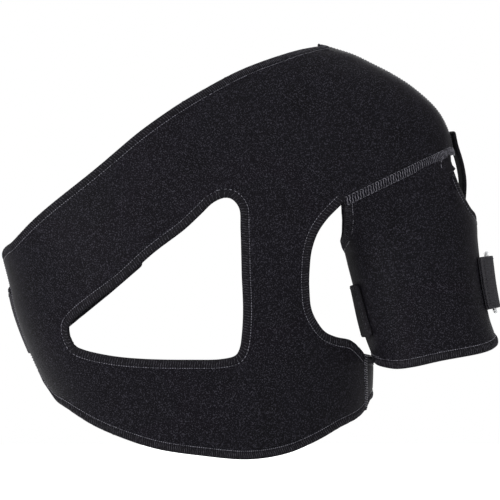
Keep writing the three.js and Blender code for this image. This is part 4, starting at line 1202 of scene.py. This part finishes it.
def overlock_material(colours):
    """Woolly overlock thread, as dark as the cloth."""
    kit = Shader("woolly overlock thread", 0.7, sheen=0.003, gloss=0.1)
    tone = kit.ranged(kit.noise(2.5, 2.0).outputs["Fac"], 0.35, 0.65)
    kit.link(kit.mixed(tone, linear(colours.neoprene_dark), linear(colours.overlock)), "Base Color")
    return kit.material


def ring_material(colours):
    """Clear moulded plastic with faint flow marks."""
    kit = Shader("clear moulded plastic", 0.18, coat=0.3)
    kit.shader.inputs["Transmission Weight"].default_value = 0.3
    kit.shader.inputs["IOR"].default_value = 1.5
    tone = kit.ranged(kit.noise(6, 2.0).outputs["Fac"], 0.3, 0.7)
    kit.link(kit.mixed(tone, linear(colours.ring), linear("ffffff")), "Base Color")
    return kit.material


def stage_material(name, colour, roughness):
    kit = Shader(name, roughness)
    tone = kit.ranged(kit.noise(400, 1.0).outputs["Fac"], 0.2, 0.8)
    kit.link(kit.mixed(tone, linear(colour), linear("ffffff")), "Base Color")
    return kit.material


class BraceColours(bpy.types.PropertyGroup):
    neoprene: bpy.props.StringProperty(
        name="Neoprene", description="Knit face of the panels", default="0a090d")
    neoprene_dark: bpy.props.StringProperty(
        name="Neoprene shade", description="Its darker areas", default="08070a")
    fleck: bpy.props.StringProperty(
        name="Flecks", description="Lighter fibres in the knit", default="28272d")
    hem: bpy.props.StringProperty(
        name="Hem", description="Overlocked edge", default="0f0e11")
    overlock: bpy.props.StringProperty(
        name="Overlock", description="Threads over the hems", default="3a393f")
    thread: bpy.props.StringProperty(
        name="Thread", description="Stitches", default="626169")
    thread_dark: bpy.props.StringProperty(
        name="Thread shade", description="Darker stitches", default="2a292f")
    strap: bpy.props.StringProperty(
        name="Strap", description="Loop fabric", default="0c0b0d")
    strap_fibre: bpy.props.StringProperty(
        name="Strap fibres", description="Raised loops", default="242328")
    webbing: bpy.props.StringProperty(
        name="Webbing", description="Keepers of the rings", default="0e0d10")
    webbing_yarn: bpy.props.StringProperty(
        name="Webbing yarn", description="Lighter yarns", default="2c2b31")
    ring: bpy.props.StringProperty(
        name="Rings", description="Clear plastic", default="e6e8ea")


class BraceSizes(bpy.types.PropertyGroup):
    thread_radius: bpy.props.FloatProperty(
        name="Thread radius", description="Radius of the thread, in millimetres", default=0.3, min=0.1)
    strap_skew: bpy.props.FloatProperty(
        name="Strap skew", description="How far the folded end drifts down, in millimetres", default=11.0)
    picture_field: bpy.props.FloatProperty(
        name="Picture field", description="Width that the picture spans", default=0.45, unit="LENGTH")
    camera_distance: bpy.props.FloatProperty(
        name="Camera distance", description="From the crest to the camera", default=6.0, unit="LENGTH")


MATERIALS = {}


def material(name):
    """Each finish, made once."""
    makers = {
        "neoprene": neoprene_material, "strap": strap_material, "webbing": webbing_material,
        "thread": thread_material, "overlock": overlock_material, "ring": ring_material,
    }
    if name not in MATERIALS:
        MATERIALS[name] = makers[name](bpy.context.scene.brace_colours)
    return MATERIALS[name]


def dress(piece, node):
    """The piece stands for a solid, follows the body and hides that solid."""
    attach(piece, "root")
    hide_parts(node)


def trim(piece):
    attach(piece, "root")


class BRACE_OT_panels(bpy.types.Operator):
    """Front panel, back panel and arm sleeve with their overlocked hems"""
    bl_idname = "brace.panels"
    bl_label = "Neoprene panels"

    def execute(self, context):
        radius = context.scene.brace_sizes.thread_radius
        for node, shape, flat, area in (
            ("front_panel", FRONT_PANEL, (0.46, 0.42), 0.095),
            ("back_panel", BACK_PANEL, (0.20, 0.36), 0.038),
            ("arm_sleeve", ARM_SLEEVE, (0.40, 0.20), 0.058),
        ):
            piece = panel_object(f"{node}_cloth", shape, material("neoprene"))
            dress(piece, node)
            across, along = hem_threads(shape)
            overlock = threads(f"{node}_overlock", across, radius * 0.8, material("overlock"))
            stitches = threads(f"{node}_stitches", along, radius * 1.3, material("thread"))
            trim(overlock)
            trim(stitches)
        return {"FINISHED"}


class BRACE_OT_seams(bpy.types.Operator):
    """Flatlock seams between the panels and the sleeve"""
    bl_idname = "brace.seams"
    bl_label = "Flatlock seams"

    def execute(self, context):
        radius = context.scene.brace_sizes.thread_radius
        for name, panel, index in (
            ("shoulder_seam", FRONT_PANEL, 3), ("crest_seam", FRONT_PANEL, 2), ("side_seam", FRONT_PANEL, 5),
            ("rear_seam", BACK_PANEL, 1),
        ):
            line = even_steps(panel.edges[index][1], 1.05)
            points = panel.cloth.point(line)
            along = unit(np.gradient(points, axis=0))
            inward = np.cross(panel.cloth.normal(line), along)
            runs = []
            lifts = (0.15, 0.5, 0.6, 0.5, 0.15)
            reaches = (-3.6, -1.9, 0.0, 1.9, 3.6)
            rows = [panel.cloth.point(panel.cloth.shifted(line, inward, np.full(len(line), reach)), lift)
                    for reach, lift in zip(reaches, lifts)]
            for i in range(0, len(line) - 3, 2):
                runs.append(np.array([rows[k][i + k // 2] for k in range(5)]))
            for side in (0, 4):
                for i in range(0, len(line) - 3, 3):
                    runs.append(rows[side][i : i + 3])
            stitches = threads(f"{name}_stitches", runs, radius, material("thread"))
            trim(stitches)
            bead = seam_bead(f"{name}_bead", panel.cloth, line, inward)
            trim(bead)
        return {"FINISHED"}


class BRACE_OT_straps(bpy.types.Operator):
    """Back strap, arm strap, shoulder strip and the rings' keepers"""
    bl_idname = "brace.straps"
    bl_label = "Straps and keepers"

    def execute(self, context):
        skew = context.scene.brace_sizes.strap_skew
        radius = context.scene.brace_sizes.thread_radius

        def drift(places, total):
            past_bar = np.maximum(places - (total - BACK_STRAP_FOLD), 0)
            return skew * past_bar / BACK_STRAP_FOLD

        for node, track, line, width, wall, slot, finish, move, flat in (
            ("back_strap", BACK_TRACK, back_strap_line(), BACK_STRAP_WIDTH, STRAP_WALL, "strap",
             "strap", drift, (0.058, 0.58)),
            ("arm_strap", ARM_TRACK, arm_strap_line(), ARM_STRAP_WIDTH, STRAP_WALL, "strap",
             "strap", None, (0.051, 0.30)),
            ("flank_ring_keeper", BACK_TRACK, flank_keeper_line(), BACK_STRAP_WIDTH, WEBBING_WALL, "webbing",
             "webbing", None, (0.058, 0.095)),
            ("arm_ring_keeper", ARM_TRACK, arm_keeper_line(), ARM_STRAP_WIDTH, WEBBING_WALL, "webbing",
             "webbing", None, (0.051, 0.056)),
        ):
            piece = band_object(f"{node}_cloth", track, line, width, wall, material(finish), move)
            dress(piece, node)
            runs = strap_stitches(track, line, width, wall, move)
            stitches = threads(f"{node}_stitches", runs, radius, material("overlock"))
            trim(stitches)
        strip = strip_object()
        dress(strip, "shoulder_strip")
        return {"FINISHED"}


class StripTrack:
    """The shoulder strip's own line: lengths down it, aside to the rear, lift outwards."""

    def __init__(self):
        self.line = smooth_line([on_body(row) for row in STRIP_LINE], 1.5)
        steps = np.linalg.norm(np.diff(self.line, axis=0), axis=1)
        self.lengths = np.concatenate([[0], np.cumsum(steps)])

    def place(self, length, aside, lift):
        x = np.interp(length, self.lengths, self.line[:, 0])
        z = np.interp(length, self.lengths, self.line[:, 1])
        ahead = [np.interp(length + 1, self.lengths, self.line[:, i]) for i in (0, 1)]
        behind = [np.interp(length - 1, self.lengths, self.line[:, i]) for i in (0, 1)]
        dx = ahead[0] - behind[0]
        dz = ahead[1] - behind[1]
        size = np.hypot(dx, dz)
        y = aside + STRIP_WIDTH / 2 + CLEARANCE
        return np.stack([x - dz / size * lift + STRIP_TURN * y, y, z + dx / size * lift], axis=-1)


def strip_object():
    track = StripTrack()
    middle = -STRIP_WALL / 2
    line = [(0, middle), (track.lengths[-1], middle)]
    return band_object("shoulder_strip_cloth", track, line, STRIP_WIDTH, STRIP_WALL, material("strap"))


class BRACE_OT_rings(bpy.types.Operator):
    """Clear rings, modelled flat and laid on the strap's track"""
    bl_idname = "brace.rings"
    bl_label = "Rings"

    def execute(self, context):
        flank_at = BACK_TRACK.flank - BAR_FROM_MIDDLE - KEEPER_RISE
        flank_slot = BACK_STRAP_WIDTH + 2 * SIDE_PLAY
        arm_slot = ARM_STRAP_WIDTH + 2 * SIDE_PLAY
        ring_object("flank_ring", BACK_TRACK, flank_at, back_lifts()[1], flank_slot)
        ring_object("arm_ring", ARM_TRACK, ARM_TRACK.ring_at, arm_lifts()[1], arm_slot)
        return {"FINISHED"}


def ring_object(node, track, middle, lift, slot_length):
    """A flat frame with a slot: a grid, cut open, thickened and bevelled."""
    deselect()
    outer_along = RING_SLOT / 2 + RING_BAR
    outer_across = slot_length / 2 + RING_BAR
    bpy.ops.mesh.primitive_grid_add(x_subdivisions=3, y_subdivisions=26, size=2)
    piece = bpy.context.object
    piece.name = f"{node}_plastic"
    mesh = piece.data
    bm = bmesh.new()
    bm.from_mesh(mesh)
    columns = np.array([-outer_along, -RING_SLOT / 2, RING_SLOT / 2, outer_along])
    between = np.linspace(-slot_length / 2, slot_length / 2, 25)
    rows = np.concatenate([[-outer_across], between, [outer_across]])
    for vert in bm.verts:
        column = int(round((vert.co.x + 1) / 2 * 3))
        row = int(round((vert.co.y + 1) / 2 * 26))
        vert.co = Vector((columns[column], rows[row], 0))
    slot = []
    for face in bm.faces:
        middle_of_face = face.calc_center_median()
        if abs(middle_of_face.x) < RING_SLOT / 2 and abs(middle_of_face.y) < slot_length / 2:
            slot.append(face)
    bmesh.ops.delete(bm, geom=slot, context="FACES")
    bm.to_mesh(mesh)
    bm.free()
    bpy.ops.object.mode_set(mode="EDIT")
    bpy.ops.mesh.select_all(action="SELECT")
    bpy.ops.mesh.solidify(thickness=RING_PLATE)
    bpy.ops.object.mode_set(mode="OBJECT")
    edge = piece.modifiers.new("round edges", "BEVEL")
    edge.width = 0.9
    edge.segments = 3
    edge.limit_method = "ANGLE"
    bpy.ops.object.modifier_apply(modifier=edge.name)
    flat = np.array([vert.co[:] for vert in mesh.vertices])
    height = flat[:, 2] - (flat[:, 2].min() + flat[:, 2].max()) / 2
    points = to_row(track.place(middle + flat[:, 0], flat[:, 1], lift + height))
    for vert, point in zip(mesh.vertices, points):
        vert.co = point
    piece.location = (0, 0, 0)
    mesh.materials.clear()
    mesh.materials.append(material("ring"))
    bpy.ops.object.mode_set(mode="EDIT")
    bpy.ops.mesh.select_all(action="SELECT")
    bpy.ops.mesh.normals_make_consistent(inside=False)
    bpy.ops.object.mode_set(mode="OBJECT")
    bpy.ops.object.shade_smooth_by_angle(angle=math.radians(40))
    dress(piece, node)
    return piece


PICTURE_CENTRE = (223.2, 0.0, 185.4)  # the brace's place in the middle of the picture
FLOOR_GAP = 0.06  # metres from the lowest hem to the floor


class BRACE_OT_stage(bpy.types.Operator):
    """Camera at the picture's angle, pale floor and soft studio light"""
    bl_idname = "brace.stage"
    bl_label = "Stage"

    def execute(self, context):
        sizes = context.scene.brace_sizes
        centre = to_row(np.array(PICTURE_CENTRE))
        lens = bpy.data.cameras.new("picture camera")
        lens.lens = 36 * sizes.camera_distance / sizes.picture_field
        lens.sensor_width = 36
        lens.clip_end = 60
        camera = bpy.data.objects.new("picture camera", lens)
        context.scene.collection.objects.link(camera)
        camera.location = (centre[0], -sizes.camera_distance, centre[2])
        camera.rotation_euler = (math.pi / 2, 0, 0)
        context.scene.camera = camera
        floor_z = CAD_BOX[0][2] - FLOOR_GAP
        deselect()
        bpy.ops.mesh.primitive_circle_add(
            vertices=96, radius=2.4, fill_type="NGON", location=(0, 0, floor_z))
        floor = context.object
        floor.name = "pale_floor"
        floor.data.materials.append(stage_material("pale matt floor", "f4f4f4", 0.95))
        for name, place, size, power in (
            ("key light", (-2.1, -1.9, 1.3), 1.0, 85),
            ("fill light", (1.7, -2.2, 0.3), 1.2, 8),
            ("top light", (0.0, 0.3, 2.2), 1.6, 26),
            ("rear light", (0.2, 2.4, 0.8), 1.8, 20),
        ):
            lamp = bpy.data.lights.new(name, "AREA")
            lamp.size = size
            lamp.energy = power
            light = bpy.data.objects.new(name, lamp)
            context.scene.collection.objects.link(light)
            light.location = place
            aim = Vector((centre[0], 0, centre[2])) - Vector(place)
            light.rotation_euler = aim.to_track_quat("-Z", "Y").to_euler()
        world = bpy.data.worlds.new("studio")
        world.use_nodes = True
        world.node_tree.nodes["Background"].inputs["Color"].default_value = (1, 1, 1, 1)
        world.node_tree.nodes["Background"].inputs["Strength"].default_value = 1.0
        context.scene.world = world
        context.scene.view_settings.view_transform = "Standard"
        return {"FINISHED"}


class BRACE_PT_panel(bpy.types.Panel):
    """Lists the brace's pieces in the sidebar"""
    bl_idname = "BRACE_PT_panel"
    bl_label = "Shoulder brace"
    bl_space_type = "VIEW_3D"
    bl_region_type = "UI"
    bl_category = "Brace"

    def draw(self, context):
        for operator in OPERATORS:
            self.layout.operator(operator.bl_idname)


OPERATORS = (BRACE_OT_panels, BRACE_OT_seams, BRACE_OT_straps, BRACE_OT_rings, BRACE_OT_stage)
CLASSES = (BraceColours, BraceSizes) + OPERATORS + (BRACE_PT_panel,)


def register():
    for item in CLASSES:
        bpy.utils.register_class(item)
    bpy.types.Scene.brace_colours = bpy.props.PointerProperty(type=BraceColours)
    bpy.types.Scene.brace_sizes = bpy.props.PointerProperty(type=BraceSizes)


def unregister():
    del bpy.types.Scene.brace_sizes
    del bpy.types.Scene.brace_colours
    for item in reversed(CLASSES):
        bpy.utils.unregister_class(item)


def main():
    register()
    bpy.ops.brace.panels()
    bpy.ops.brace.seams()
    bpy.ops.brace.straps()
    bpy.ops.brace.rings()
    bpy.ops.brace.stage()


if __name__ == "__main__":
    main()
